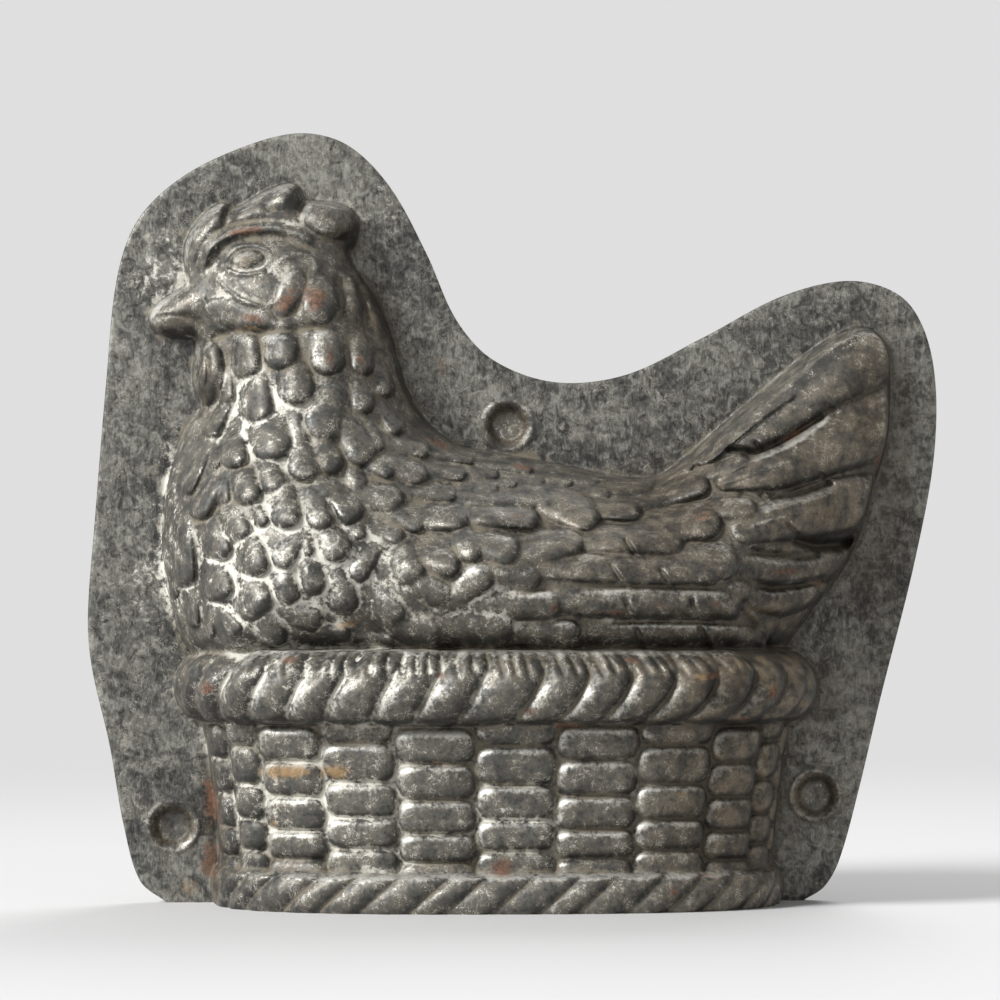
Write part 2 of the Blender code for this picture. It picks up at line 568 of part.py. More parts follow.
def on_wall(heights):
    """Return those of the heights that lie clear of the wall's top and bottom."""
    return [z for z in heights if FOOT_HEIGHT + LEAST_SPACING < z < WALL_TOP - LEAST_SPACING / 2]


def weave_lines():
    """Return lines of (walked, z) between the strands of the weave and along their middles."""
    joints = weave_joints()
    side = [FOOT_HEIGHT, *sorted(on_wall(WEAVE_GAPS[0] + WEAVE_GAPS[1])), WALL_TOP]
    lines = []
    for number, (start, end) in enumerate(zip(joints, joints[1:])):
        lines.append(np.array([(start, z) for z in side]))
        gaps = np.array(WEAVE_GAPS[number % 2])
        for heights, shares in ((gaps, GAP_SHARES), ((gaps[1:] + gaps[:-1]) / 2, CREST_SHARES)):
            for z in on_wall(heights):
                lines.append(np.array([(start + share * (end - start), z) for share in shares]))
    return lines


def basket_lines():
    """Return lines of (x, z) that follow the basket's ropes and weave."""
    on_foot = (0.0, FOOT_HEIGHT / 2, FOOT_HEIGHT)
    rim_full = (rim_middle() - RIM_ROLL_RADIUS, rim_middle(), rim_middle() + RIM_ROLL_RADIUS)
    on_rim = (WALL_TOP, *rim_full, RIM_TOP)
    reach, along = plan_walk()
    heights, half_lengths, _ = basket_sections().T
    lines = []
    foot = rope_lines(on_foot, FOOT_HEIGHT / 2, foot_creases(), FOOT_SLANT, 0.0)
    rim = rope_lines(on_rim, rim_middle(), rim_creases(), RIM_SLANT, RIM_BOW)
    for line in foot + rim + weave_lines():
        walked, z = line.T
        across = np.interp(walked, along, reach)
        if np.abs(across).min() < PLAN_REACH:
            across = np.clip(across, -PLAN_REACH, PLAN_REACH)
            x = BASKET_MIDDLE + across * np.interp(z, heights, half_lengths)
            lines.append(np.stack([x, z], axis=1))
    return lines


def beside(line, distance):
    """Return a line that runs beside another, at a distance to its right."""
    run = np.gradient(line, axis=0)
    run /= np.linalg.norm(run, axis=1, keepdims=True)
    return line + np.stack([run[:, 1], -run[:, 0]], axis=1) * distance


def crease_lines():
    """Return the head's creases and a line along each shoulder of them, as lines of (x, z)."""
    lines = []
    for _, half_width, knots in CREASES.values():
        line = smooth_line(knots, closed=False)
        lines += [beside(line, half_width * shoulder) for shoulder in CREASE_SHOULDERS]
    return lines


def plume_lines():
    """Return lines of (x, z) along the crest and along both edges of each plume."""
    lines = []
    for _, points in PLUMES.values():
        line = smooth_line(points, closed=False)
        run = np.gradient(line[:, :2], axis=0)
        run /= np.linalg.norm(run, axis=1, keepdims=True)
        side = np.stack([run[:, 1], -run[:, 0]], axis=1) * line[:, 2:]
        lines += [line[:, :2] + side * share for share in PLUME_SHARES]
    return lines


def outline_lines():
    """Return lines of (x, z) along the edge where the relief leaves the flange, and inside it."""
    heights, half_lengths, _ = basket_sections().T
    side_z = np.sort(np.concatenate([heights[1:-2], on_wall(WEAVE_GAPS[0])]))
    side_x = np.interp(side_z, heights, half_lengths)
    outline = smooth_line(HEN_OUTLINE, closed=True, steps=1)
    lines = []
    for inset in OUTLINE_INSETS:
        for sign in (-1, 1):
            lines.append(np.stack([BASKET_MIDDLE + sign * (side_x - inset), side_z], axis=1))
        row = beside(outline, inset)
        clear = distance_to_line(row[:, 0], row[:, 1], outline, True) > inset - MERGE_DISTANCE
        clear &= basket(row[:, 0], row[:, 1]) < SHEET
        kept = np.split(np.arange(len(row)), np.nonzero(np.diff(clear.astype(int)))[0] + 1)
        lines += [row[run] for run in kept if clear[run[0]] and len(run) > 1]
    return lines


def feather_points():
    """Return (x, z) points on the crest of each feather and in the hollows between neighbours."""
    crests = [Vector(row[:2]) for row in FEATHERS]
    crests, edges = delaunay_2d_cdt(crests, [], [], 0, MERGE_DISTANCE)[:2]
    points = [tuple(crest) for crest in crests]
    for one, other in edges:
        if (crests[one] - crests[other]).length < NEIGHBOUR_REACH:
            way = [crests[one].lerp(crests[other], share) for share in HOLLOW_SHARES]
            x, z = np.array(way).T
            lowest = way[feathering(x, z).argmin()]
            if all(math.dist(lowest, point) > HOLLOW_SPACING for point in points):
                points.append(tuple(lowest))
    return points


def bump_points():
    """Return (x, z) points on and round each of the head's bumps."""
    points = []
    for centre_x, centre_z, half_length, half_height, tilt, _ in BUMPS.values():
        turn = math.radians(tilt)
        points.append((centre_x, centre_z))
        for reach, count in BUMP_RINGS:
            for angle in np.arange(count) * 2 * math.pi / count:
                along = math.cos(angle) * half_length * reach
                across = math.sin(angle) * half_height * reach
                points.append((
                    centre_x + along * math.cos(turn) - across * math.sin(turn),
                    centre_z + along * math.sin(turn) + across * math.cos(turn),
                ))
    return points


def flat_mesh(samples, rings):
    """Return a flat mesh of the flange's outline that is fine where the pressing bends."""
    line = flange_line()
    mouth_steps = int((FLANGE_CORNER_RIGHT[0] - FLANGE_CORNER_LEFT[0]) / MOUTH_SPACING)
    mouth = np.linspace(FLANGE_CORNER_RIGHT, FLANGE_CORNER_LEFT, mouth_steps + 1)[1:-1]
    boundary = np.concatenate([line, mouth])
    across = np.arange(line[:, 0].min(), line[:, 0].max(), START_SPACING)
    up = np.arange(START_SPACING / 2, line[:, 1].max(), START_SPACING)
    evenly = list(zip(*(values.ravel() for values in np.meshgrid(across, up))))
    pressed = feather_points() + bump_points()
    evenly = [p for p in evenly if min(math.dist(p, q) for q in pressed) > START_SPACING / 2]
    x, z = np.array(pressed + evenly).T
    clear = is_inside(x, z, boundary) & (distance_to_line(x, z, boundary, True) > LEAST_SPACING)
    for place in DIMPLE_PLACES:
        clear &= np.hypot(x - place[0], z - place[1]) > DIMPLE_RADIUS + 2 * LEAST_SPACING
    loose = [*zip(x[clear], z[clear]), *DIMPLE_PLACES]
    lines = basket_lines() + crease_lines() + plume_lines() + outline_lines()
    for _ in range(REFINE_ROUNDS):
        flat, triangles = triangulate(boundary, rings, lines, np.array(loose))
        loose += worst_points(flat, triangles, samples)
    return triangulate(boundary, rings, lines, np.array(loose))


def sheet_mesh(name, samples, side):
    """Return the closed mesh of one half: side is -1 for the front half and 1 for the back one."""
    is_front = side < 0
    radii, depths = dimple_profile(0.0 if is_front else DIMPLE_CLEARANCE)
    flat, triangles = flat_mesh(samples, dimple_rings(radii))
    outer = outer_height(flat[:, 0], flat[:, 1])
    inner = inner_height(flat[:, 0], flat[:, 1])
    for place in DIMPLE_PLACES:
        from_centre = np.hypot(flat[:, 0] - place[0], flat[:, 1] - place[1])
        sunk = np.interp(from_centre, radii, depths, right=0.0) * (-1.0 if is_front else 1.0)
        outer += sunk
        inner += sunk
    count = len(flat)
    vertices = []
    for heights in (outer, inner):
        for (x, z), height in zip(flat, heights):
            vertices.append((x * MM, side * (PARTING_GAP / 2 + height) * MM, z * MM))
    faces = closed_faces(triangles, count)
    if not is_front:
        faces = [face[::-1] for face in faces]
    mesh = bpy.data.meshes.new(name)
    mesh.from_pydata(vertices, [], faces)
    mesh.update()
    return mesh


def closed_faces(triangles, count):
    """Return the faces of the outer skin, of the inner skin turned over, and of the cut edge."""
    faces = []
    sides = {}
    for a, b, c in triangles.tolist():
        faces.append((a, b, c))
        faces.append((c + count, b + count, a + count))
        for start, end in ((a, b), (b, c), (c, a)):
            sides[(start, end)] = sides.get((start, end), 0) + 1
    for start, end in sides:
        if (end, start) not in sides:
            faces.append((end, start, start + count))
            faces.append((end, start + count, end + count))
    return faces


def tin_material(name, colour, roughness):
    """Return a material of tarnished tinned sheet."""
    material = bpy.data.materials.new(name)
    material.use_nodes = True
    shader = material.node_tree.nodes["Principled BSDF"]
    shader.inputs["Base Color"].default_value = (*colour, 1.0)
    shader.inputs["Metallic"].default_value = 0.9
    shader.inputs["Roughness"].default_value = roughness
    return material


def add_half(name, samples, side, material):
    """Add one half of the mould to the scene."""
    half = bpy.data.objects.new(name, sheet_mesh(name, samples, side))
    half.data.materials.append(material)
    half.data.shade_smooth()
    half.data.set_sharp_from_angle(angle=math.radians(40))
    bpy.context.scene.collection.objects.link(half)
    return half


def main():
    """Build both halves of the mould."""
    for old in list(bpy.data.objects):
        bpy.data.objects.remove(old)
    samples = Samples()
    front_tin = tin_material("front tin", (0.085, 0.082, 0.076), 0.42)
    back_tin = tin_material("back tin", (0.085, 0.082, 0.076), 0.46)
    add_half("front_half", samples, -1, front_tin)
    add_half("back_half", samples, 1, back_tin)


main()
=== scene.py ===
"""Chocolate mould, dressed: a hen sitting on a basket, in two pressed halves of old tinned sheet.

Each half is one closed skin of sheet metal in place of its CAD node. The pressing is written as a
height over the flange for every place (x, z), from the hen's masses, her feathers one by one, and
the basket's roped foot, woven wall and roped rim. A mesh that is fine where the metal bends and
coarse where it is flat carries that height on its outer side, and the same height less the
thickness of the sheet on its inner side. Sizes are in millimetres until a mesh is made.

+X runs to the tail, -Y is the front and +Z is up. The halves meet at y = 0.
"""

import logging
import math
from collections.abc import Iterable, Sequence
from dataclasses import dataclass, field
from enum import Enum

import bpy
import numpy as np
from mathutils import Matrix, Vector


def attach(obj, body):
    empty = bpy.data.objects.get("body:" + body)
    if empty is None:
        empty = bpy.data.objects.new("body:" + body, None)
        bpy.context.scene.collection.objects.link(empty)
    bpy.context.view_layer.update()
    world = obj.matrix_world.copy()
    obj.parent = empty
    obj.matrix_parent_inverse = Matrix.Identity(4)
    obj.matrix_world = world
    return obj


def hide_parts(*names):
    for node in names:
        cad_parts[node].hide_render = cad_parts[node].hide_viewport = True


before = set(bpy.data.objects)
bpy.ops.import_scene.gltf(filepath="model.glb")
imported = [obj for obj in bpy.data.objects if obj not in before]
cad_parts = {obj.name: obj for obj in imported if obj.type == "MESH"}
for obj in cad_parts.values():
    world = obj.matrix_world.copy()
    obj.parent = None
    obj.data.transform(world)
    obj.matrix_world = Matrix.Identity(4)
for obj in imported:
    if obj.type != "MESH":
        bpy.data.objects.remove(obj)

MM = 0.001
LEAST_FEATHER_RISE, MOST_FEATHER_RISE = 0.5, 2.1
CURVE_STEPS = 5
CALM = 2.4
log = logging.getLogger("chocolate_mould")

Grid = np.ndarray
Point = tuple[float, float]
Colour = tuple[float, float, float]
Box = tuple[float, float, float, float]


# Helpers on lines and fields


def smooth_line(points: Sequence[Point], closed: bool, steps: int) -> Grid:
    """Draw a smooth curve through points.

    Args:
        points: the places the curve goes through, as (x, z).
        closed: whether the last point joins the first.
        steps: how many straight pieces stand for each span.

    Returns:
        The curve's points, one (x, z) a row.
    """
    knots = np.array(points, dtype=float)
    count = len(knots)
    curve = []
    for i in range(count if closed else count - 1):
        if closed:
            before, start, end, after = (knots[(i + k) % count] for k in (-1, 0, 1, 2))
        else:
            before, start, end, after = (knots[min(max(i + k, 0), count - 1)] for k in (-1, 0, 1, 2))
        reach = np.linalg.norm(end - start)
        leave = (end - before) * reach / (reach + np.linalg.norm(start - before))
        arrive = (after - start) * reach / (reach + np.linalg.norm(after - end))
        for t in np.arange(steps) / steps:
            curve.append(
                start * (2 * t**3 - 3 * t**2 + 1)
                + leave * (t**3 - 2 * t**2 + t)
                + end * (3 * t**2 - 2 * t**3)
                + arrive * (t**3 - t**2)
            )
    if not closed:
        curve.append(knots[-1])
    return np.array(curve)


def follow(x: Grid, z: Grid, line: Grid) -> tuple[Grid, Grid, Grid]:
    """Measure places against a line of straight pieces.

    Args:
        x: the places' x.
        z: the places' z.
        line: the line's points, one (x, z) a row.

    Returns:
        How far along the line each place lies, how far to its left, and how far from it.
    """
    nearest = np.full(x.shape, np.inf)
    along = np.zeros(x.shape)
    aside = np.zeros(x.shape)
    walked = 0.0
    for (ax, az), (bx, bz) in zip(line[:-1], line[1:]):
        run, climb = bx - ax, bz - az
        length = math.hypot(run, climb)
        share = np.clip(((x - ax) * run + (z - az) * climb) / length**2, 0.0, 1.0)
        gap = np.hypot(x - ax - share * run, z - az - share * climb)
        closer = gap < nearest
        nearest = np.where(closer, gap, nearest)
        along = np.where(closer, walked + share * length, along)
        aside = np.where(closer, ((z - az) * run - (x - ax) * climb) / length, aside)
        walked += length
    return along, aside, nearest


def is_inside(x: Grid, z: Grid, line: Grid) -> Grid:
    """Say, for each place, whether it lies inside a closed line.

    Args:
        x: the places' x.
        z: the places' z.
        line: the closed line's points, one (x, z) a row.

    Returns:
        True for each place inside.
    """
    inside = np.zeros(x.shape, dtype=bool)
    for (ax, az), (bx, bz) in zip(line, np.roll(line, -1, axis=0)):
        if az != bz:
            crosses = (az <= z) != (bz <= z)
            inside ^= crosses & (x < ax + (z - az) * (bx - ax) / (bz - az))
    return inside


def ease(share: Grid) -> Grid:
    """Return a smooth step from 0 to 1 as the share goes from 0 to 1."""
    held = np.clip(share, 0.0, 1.0)
    return held * held * (3.0 - 2.0 * held)


def soft_max(one: Grid, other: Grid, radius: float) -> Grid:
    """Join two heights with a fillet.

    Args:
        one: the first height.
        other: the second height.
        radius: how far from their meeting the fillet reaches.

    Returns:
        The higher of the two, rounded where they meet.
    """
    near = np.clip(1.0 - np.abs(one - other) / radius, 0.0, 1.0)
    return np.maximum(one, other) + near * near * radius / 4


def blurred(values: Grid, reach: float) -> Grid:
    """Blur a field.

    Args:
        values: the field.
        reach: the blur's standard deviation, in cells.

    Returns:
        The blurred field, of the same shape.
    """
    half = max(1, math.ceil(reach * 2.5))
    weights = np.exp(-0.5 * (np.arange(-half, half + 1) / reach) ** 2)
    weights /= weights.sum()
    for axis in (0, 1):
        pads = [(half, half) if axis == k else (0, 0) for k in (0, 1)]
        padded = np.pad(values, pads, mode="edge")
        length = values.shape[axis]
        values = sum(
            weight * np.take(padded, range(k, k + length), axis=axis) for k, weight in enumerate(weights)
        )
    return values


def turned(x: Grid, z: Grid, middle: Point, degrees: float) -> tuple[Grid, Grid]:
    """Measure places along and across a direction.

    Args:
        x: the places' x.
        z: the places' z.
        middle: where both measures are 0.
        degrees: the direction, in degrees up from +X.

    Returns:
        How far along the direction each place lies, and how far to its left.
    """
    turn = math.radians(degrees)
    along = (x - middle[0]) * math.cos(turn) + (z - middle[1]) * math.sin(turn)
    across = (z - middle[1]) * math.cos(turn) - (x - middle[0]) * math.sin(turn)
    return along, across


def box_round(points: Sequence[Point], spare: float) -> Box:
    """Draw a box round points.

    Args:
        points: the points, as (x, z).
        spare: how far the box reaches past them.

    Returns:
        Its lowest x and z, then its highest x and z.
    """
    held = np.array(points)
    return (*(held.min(axis=0) - spare), *(held.max(axis=0) + spare))


def spread(cells: Grid, size: int) -> Grid:
    """Give each large cell's value to all the small ones in it.

    Args:
        cells: the large cells' values.
        size: how many small cells a large one is wide.

    Returns:
        The small cells' values.
    """
    return cells.repeat(size, axis=0).repeat(size, axis=1)


# The pressing's small forms


@dataclass(frozen=True)
class Feather:
    """A short feather, pressed as a rounded scale that stands up towards its tip.

    Attributes:
        x: its middle.
        z: its middle.
        length: from root to tip.
        width: across its widest part.
        lean: where the tip points, in degrees up from +X.
        steepness: its rise for each millimetre of its width.
        root: how much further its low root runs back under its neighbours, as a share of its length.
        heavy: how much fuller its lower right side is, as these are pressed.
    """

    x: float
    z: float
    length: float
    width: float
    lean: float
    steepness: float = 0.38
    root: float = 0.45
    heavy: float = 0.16

    def rise(self) -> float:
        """Return how far the feather stands out at its fullest."""
        return min(max(self.steepness * self.width, LEAST_FEATHER_RISE), MOST_FEATHER_RISE)

    def height(self, x: Grid, z: Grid) -> Grid:
        """Return the feather's rise at each place.

        Args:
            x: the places' x.
            z: the places' z.

        Returns:
            The rise, 0 outside the feather.
        """
        turn = math.radians(self.lean)
        along, across = turned(x, z, (self.x, self.z), self.lean)
        whole = self.length * (1.0 + self.root)
        share = (along + whole - self.length / 2) / whole
        half = self.width / 2 * (0.84 + 0.2 * ease(share / 0.6))
        cap = min(self.width / 2, self.length / 2)
        past_tip = np.maximum(along - (self.length / 2 - cap), 0.0) / cap
        before_root = np.maximum(cap * 1.2 - share * whole, 0.0) / (cap * 1.2)
        reach = (across / half) ** 2 + past_tip**2 + before_root**2
        section = np.clip(1.0 - reach, 0.0, 1.0) ** (1.5 - 1.04 * ease(share / 0.85))
        heavy_side = -(math.sin(turn) + math.cos(turn)) * self.heavy * np.clip(across / half, -1.0, 1.0)
        return self.rise() * section * (0.4 + 0.6 * ease(share / 0.9)) * (1.0 + heavy_side)

    def box(self) -> Box:
        """Return the lowest and highest x and z that the feather reaches."""
        return box_round([(self.x, self.z)], self.length * (0.5 + self.root) + self.width / 2)


@dataclass(frozen=True)
class Plume:
    """A long feather of the wing or the tail, along a line, with its lower edge the higher one.

    Attributes:
        line: the points it runs along, from root to tip.
        widths: its width at each of those points.
        rise: how far it stands out.
        skew: how much lower its upper edge lies than its lower one.
    """

    line: tuple[Point, ...]
    widths: tuple[float, ...]
    rise: float
    skew: float = 0.45

    def height(self, x: Grid, z: Grid) -> Grid:
        """Return the plume's rise at each place.

        Args:
            x: the places' x.
            z: the places' z.

        Returns:
            The rise, 0 outside the plume.
        """
        curve = smooth_line(self.line, closed=False, steps=CURVE_STEPS)
        steps = np.hypot(*np.diff(curve, axis=0).T)
        walked = np.concatenate([[0.0], np.cumsum(steps)])
        along, aside, gap = follow(x, z, curve)
        half = np.interp(along, walked[::CURVE_STEPS], self.widths) / 2
        beyond = np.sqrt(np.maximum(gap**2 - aside**2, 0.0))
        reach = (np.minimum(np.abs(aside), gap) / half) ** 2 + (beyond / (half * 0.9)) ** 2
        section = np.clip(1.0 - reach, 0.0, 1.0) ** 0.5
        side = np.clip(aside / half, -1.0, 1.0)
        root = 0.45 + 0.55 * ease(along / (walked[-1] * 0.35))
        return self.rise * section * (1.0 - self.skew * (1.0 + side) / 2) * root

    def box(self) -> Box:
        """Return the lowest and highest x and z that the plume reaches."""
        return box_round(self.line, max(self.widths))


@dataclass(frozen=True)
class Fold:
    """A raised or sunk line in the sheet.

    Attributes:
        rise: how far it stands out; below 0, how deep it is sunk.
        half_width: from its middle to where it has nearly gone.
        line: the points it runs along.
    """

    rise: float
    half_width: float
    line: tuple[Point, ...]

    def height(self, x: Grid, z: Grid) -> Grid:
        """Return the fold's rise, tapered at its ends.

        Args:
            x: the places' x.
            z: the places' z.

        Returns:
            The rise at each place.
        """
        curve = smooth_line(self.line, closed=False, steps=CURVE_STEPS)
        along, _, gap = follow(x, z, curve)
        total = float(np.hypot(*np.diff(curve, axis=0).T).sum())
        taper = np.minimum(1.2, total * 0.25)
        ends = ease((along + taper * 0.3) / taper) * ease((total - along + taper * 0.3) / taper)
        return self.rise * ends * np.exp(-((gap / self.half_width) ** 2))

    def box(self) -> Box:
        """Return the lowest and highest x and z that the fold reaches."""
        return box_round(self.line, 3.0 * self.half_width + 1.0)


@dataclass(frozen=True)
class Swell:
    """A rounded lump, such as an eye or a lobe of the comb, or the spread of a stain.

    Attributes:
        x: its middle.
        z: its middle.
        half_length: along its tilt.
        half_height: across its tilt.
        tilt: in degrees up from +X.
        rise: how far it stands out, or how much a stain hides; below 0, how deep it is sunk.
        crisp: whether it ends in a clear edge or fades out.
    """

    x: float
    z: float
    half_length: float
    half_height: float
    tilt: float
    rise: float
    crisp: bool = True

    def height(self, x: Grid, z: Grid) -> Grid:
        """Return the swell's rise.

        Args:
            x: the places' x.
            z: the places' z.

        Returns:
            The rise at each place.
        """
        along, across = turned(x, z, (self.x, self.z), self.tilt)
        reach = (along / self.half_length) ** 2 + (across / self.half_height) ** 2
        if self.crisp:
            return self.rise * np.clip(1.0 - reach, 0.0, 1.0) ** 0.6
        return self.rise * np.exp(-1.4 * reach)

    def box(self) -> Box:
        """Return the lowest and highest x and z that the swell reaches."""
        spare = max(self.half_length, self.half_height) * (1.0 if self.crisp else 1.9)
        return box_round([(self.x, self.z)], spare)


class Residue(Enum):
    """What has settled on the metal at a place; the dark dirt also stands for painted shade, and the pale
    residue at the dimples' middles for a painted highlight.
    """

    RUST = "rust"
    OCHRE = "ochre"
    CREAM_AND_HIGHLIGHT = "cream"
    GRIME_AND_SHADE = "grime"


# The flat field that every form is drawn into


@dataclass
class Field:
    """An even grid of places (x, z) over the whole mould.

    Attributes:
        low: its lowest x and z.
        high: its highest x and z.
        step: from one place to the next.
        xs: the x of each column.
        zs: the z of each row.
        x: every place's x.
        z: every place's z.
    """

    low: Point = (-76.0, -4.05)
    high: Point = (76.0, 134.0)
    step: float = 0.15
    xs: Grid = field(init=False)
    zs: Grid = field(init=False)
    x: Grid = field(init=False)
    z: Grid = field(init=False)

    def __post_init__(self) -> None:
        """Lay the grid out.

        Returns:
            Nothing.
        """
        self.xs = np.arange(self.low[0], self.high[0], self.step)
        self.zs = np.arange(self.low[1], self.high[1], self.step)
        self.x, self.z = np.meshgrid(self.xs, self.zs)

    def window(self, box: Box) -> tuple[slice, slice]:
        """Find a box in the grid.

        Args:
            box: its lowest x and z, then its highest x and z.

        Returns:
            The rows and the columns that it covers.
        """
        first = [max(0, math.floor((box[k] - self.low[k]) / self.step)) for k in (0, 1)]
        last = [max(0, math.ceil((box[k + 2] - self.low[k]) / self.step) + 1) for k in (0, 1)]
        return slice(first[1], last[1]), slice(first[0], last[0])

    def sample(self, values: Grid, x: Grid, z: Grid) -> Grid:
        """Read a field between its places.

        Args:
            values: the field, one value for each place of the grid.
            x: where to read it.
            z: where to read it.

        Returns:
            The values there, blended from the four places round each.
        """
        column = np.clip((x - self.low[0]) / self.step, 0, len(self.xs) - 1.001)
        row = np.clip((z - self.low[1]) / self.step, 0, len(self.zs) - 1.001)
        i, j = column.astype(int), row.astype(int)
        right, up = column - i, row - j
        lower = values[j, i] * (1 - right) + values[j, i + 1] * right
        upper = values[j + 1, i] * (1 - right) + values[j + 1, i + 1] * right
        return lower * (1 - up) + upper * up

    def ripple(self, wavelength: float, seed: int) -> Grid:
        """Return a smooth random field from -1 to 1, the same for the same seed.

        Args:
            wavelength: the size of its swells.
            seed: which of the random fields it is.

        Returns:
            One value for each place of the grid.
        """
        dice = np.random.default_rng(seed)
        spans = [int((self.high[k] - self.low[k]) / wavelength) + 3 for k in (1, 0)]
        coarse = dice.uniform(-1.0, 1.0, spans)
        row = (self.zs - self.low[1]) / wavelength
        column = (self.xs - self.low[0]) / wavelength
        j, i = row.astype(int), column.astype(int)
        up, right = ease(row - j)[:, None], ease(column - i)[None, :]
        lower = coarse[np.ix_(j, i)] * (1 - right) + coarse[np.ix_(j, i + 1)] * right
        upper = coarse[np.ix_(j + 1, i)] * (1 - right) + coarse[np.ix_(j + 1, i + 1)] * right
        return lower * (1 - up) + upper * up


# The basket


@dataclass
class Basket:
    """The woven basket: a rolled foot, a wall of short rolled strands and a roped rim.

    Attributes:
        middle: the x of its middle.
        foot_height: top of the roped foot.
        foot_half_length: half the foot's length.
        foot_depth: how far the foot stands out.
        foot_roll_radius: radius of the foot's roll.
        wall_top: where the rim starts.
        wall_half_length: half the wall's length at its bottom.
        wall_depth: how far the wall stands out at its bottom.
        wall_flare: how much longer each half gets towards the rim.
        wall_lean: how much deeper the wall gets towards the rim.
        rim_top: top of the rim's roll.
        rim_half_length: half the rim's length.
        rim_depth: how far the rim stands out.
        rim_roll_radius: radius of the rim's roll.
        corner_power: how square the plan's corners are; 2 is an ellipse.
        columns: the x of the joints between the columns of strands.
        column_pitch: from one joint to the next, past those.
        even_gaps: heights of the gaps between the strands of every other column.
        odd_gaps: heights of the gaps in the columns between.
        strand_rise: how far a strand stands out of its gaps.
        rim_turns: the x of the creases between the rim rope's turns, at its middle height.
        turn_pitch: from one crease to the next, past those.
        foot_pitch: from one turn of the foot's rope to the next.
        rope_rise: how far the rim rope's turns stand out of their creases.
        foot_rope_rise: the same on the foot.
        pleat_pitch: from one pleat of the rim's top to the next.
        pleat_depth: how deep the pleats are.
        plan_steps: how many points the plan has.
        end_slope: how steeply the height falls off past the plan's ends.
        wall_gap: from the top of the foot to where the wall starts.
        shelf_height: how far above the rim its top closes in over the hen.
        shelf_reach: how much shorter each half gets over that height.
        spare_marks: how many creases or joints follow past each end.
        foot_marks: how many creases the foot has to each side.
        nowhere: the height where there is no basket.
    """

    middle: float = -3.0
    foot_height: float = 5.6
    foot_half_length: float = 48.0
    foot_depth: float = 33.0
    foot_roll_radius: float = 5.95
    wall_top: float = 30.0
    wall_half_length: float = 46.6
    wall_depth: float = 29.2
    wall_flare: float = 2.8
    wall_lean: float = 0.9
    rim_top: float = 42.4
    rim_half_length: float = 54.2
    rim_depth: float = 35.6
    rim_roll_radius: float = 6.3
    corner_power: float = 2.7
    columns: tuple[float, ...] = (-48.4, -42.9, -32.6, -20.6, -7.7, 5.3, 18.6, 30.9, 39.4, 43.4)
    column_pitch: float = 10.5
    even_gaps: tuple[float, ...] = (3.0, 8.4, 13.1, 18.6, 24.4, 30.1)
    odd_gaps: tuple[float, ...] = (4.6, 10.1, 15.1, 20.8, 27.2, 33.0)
    strand_rise: float = 1.9
    rim_turns: tuple[float, ...] = (-44.2, -37.4, -30.8, -22.7, -15.4, -7.8, 1.9, 9.4, 16.7, 24.2, 31.4)
    turn_pitch: float = 6.6
    foot_pitch: float = 7.0
    rope_rise: float = 2.1
    foot_rope_rise: float = 1.05
    pleat_pitch: float = 2.05
    pleat_depth: float = 1.15
    plan_steps: int = 2400
    end_slope: float = 5.0
    wall_gap: float = 1.1
    shelf_height: float = 1.5
    shelf_reach: float = 4.0
    spare_marks: int = 12
    foot_marks: int = 16
    nowhere: float = -40.0

    def rim_middle(self) -> float:
        """Return the height of the middle of the rim."""
        return (self.wall_top + self.rim_top) / 2

    def section(self, z: float) -> tuple[float, float]:
        """Work out the plan at a height.

        Args:
            z: the height.

        Returns:
            The plan's half length and its depth.
        """
        foot_middle = self.foot_height / 2
        held = max(z, 0.0)
        if held <= self.foot_height:
            away = held - foot_middle
            fall = self.foot_roll_radius - math.sqrt(self.foot_roll_radius**2 - away**2)
            return self.foot_half_length - fall * 0.6, self.foot_depth - fall
        wall_foot = self.foot_height + self.wall_gap
        share = (held - wall_foot) / (self.wall_top - wall_foot)
        wall_half = self.wall_half_length + self.wall_flare * max(share, 0.0) ** 1.6
        wall_depth = self.wall_depth + self.wall_lean * max(share, 0.0) ** 1.6
        if held < wall_foot:
            drop = float(ease(np.array((held - self.foot_height) / (wall_foot - self.foot_height))))
            foot = self.section(self.foot_height)
            return foot[0] + (wall_half - foot[0]) * drop, foot[1] + (wall_depth - foot[1]) * drop
        away = held - self.rim_middle()
        reach = min(abs(away), self.rim_roll_radius - 0.35)
        fall = self.rim_roll_radius - math.sqrt(self.rim_roll_radius**2 - reach**2)
        rim = (self.rim_half_length - fall, self.rim_depth - fall)
        if away < 0:
            climb = float(ease(np.array((held - self.wall_top - 0.1) / 1.3)))
            return wall_half + (rim[0] - wall_half) * climb, wall_depth + (rim[1] - wall_depth) * climb
        if held <= self.rim_top:
            return rim
        shelf = min((held - self.rim_top) / self.shelf_height, 1.0)
        return rim[0] - self.shelf_reach * shelf, rim[1] * (1.0 - shelf)

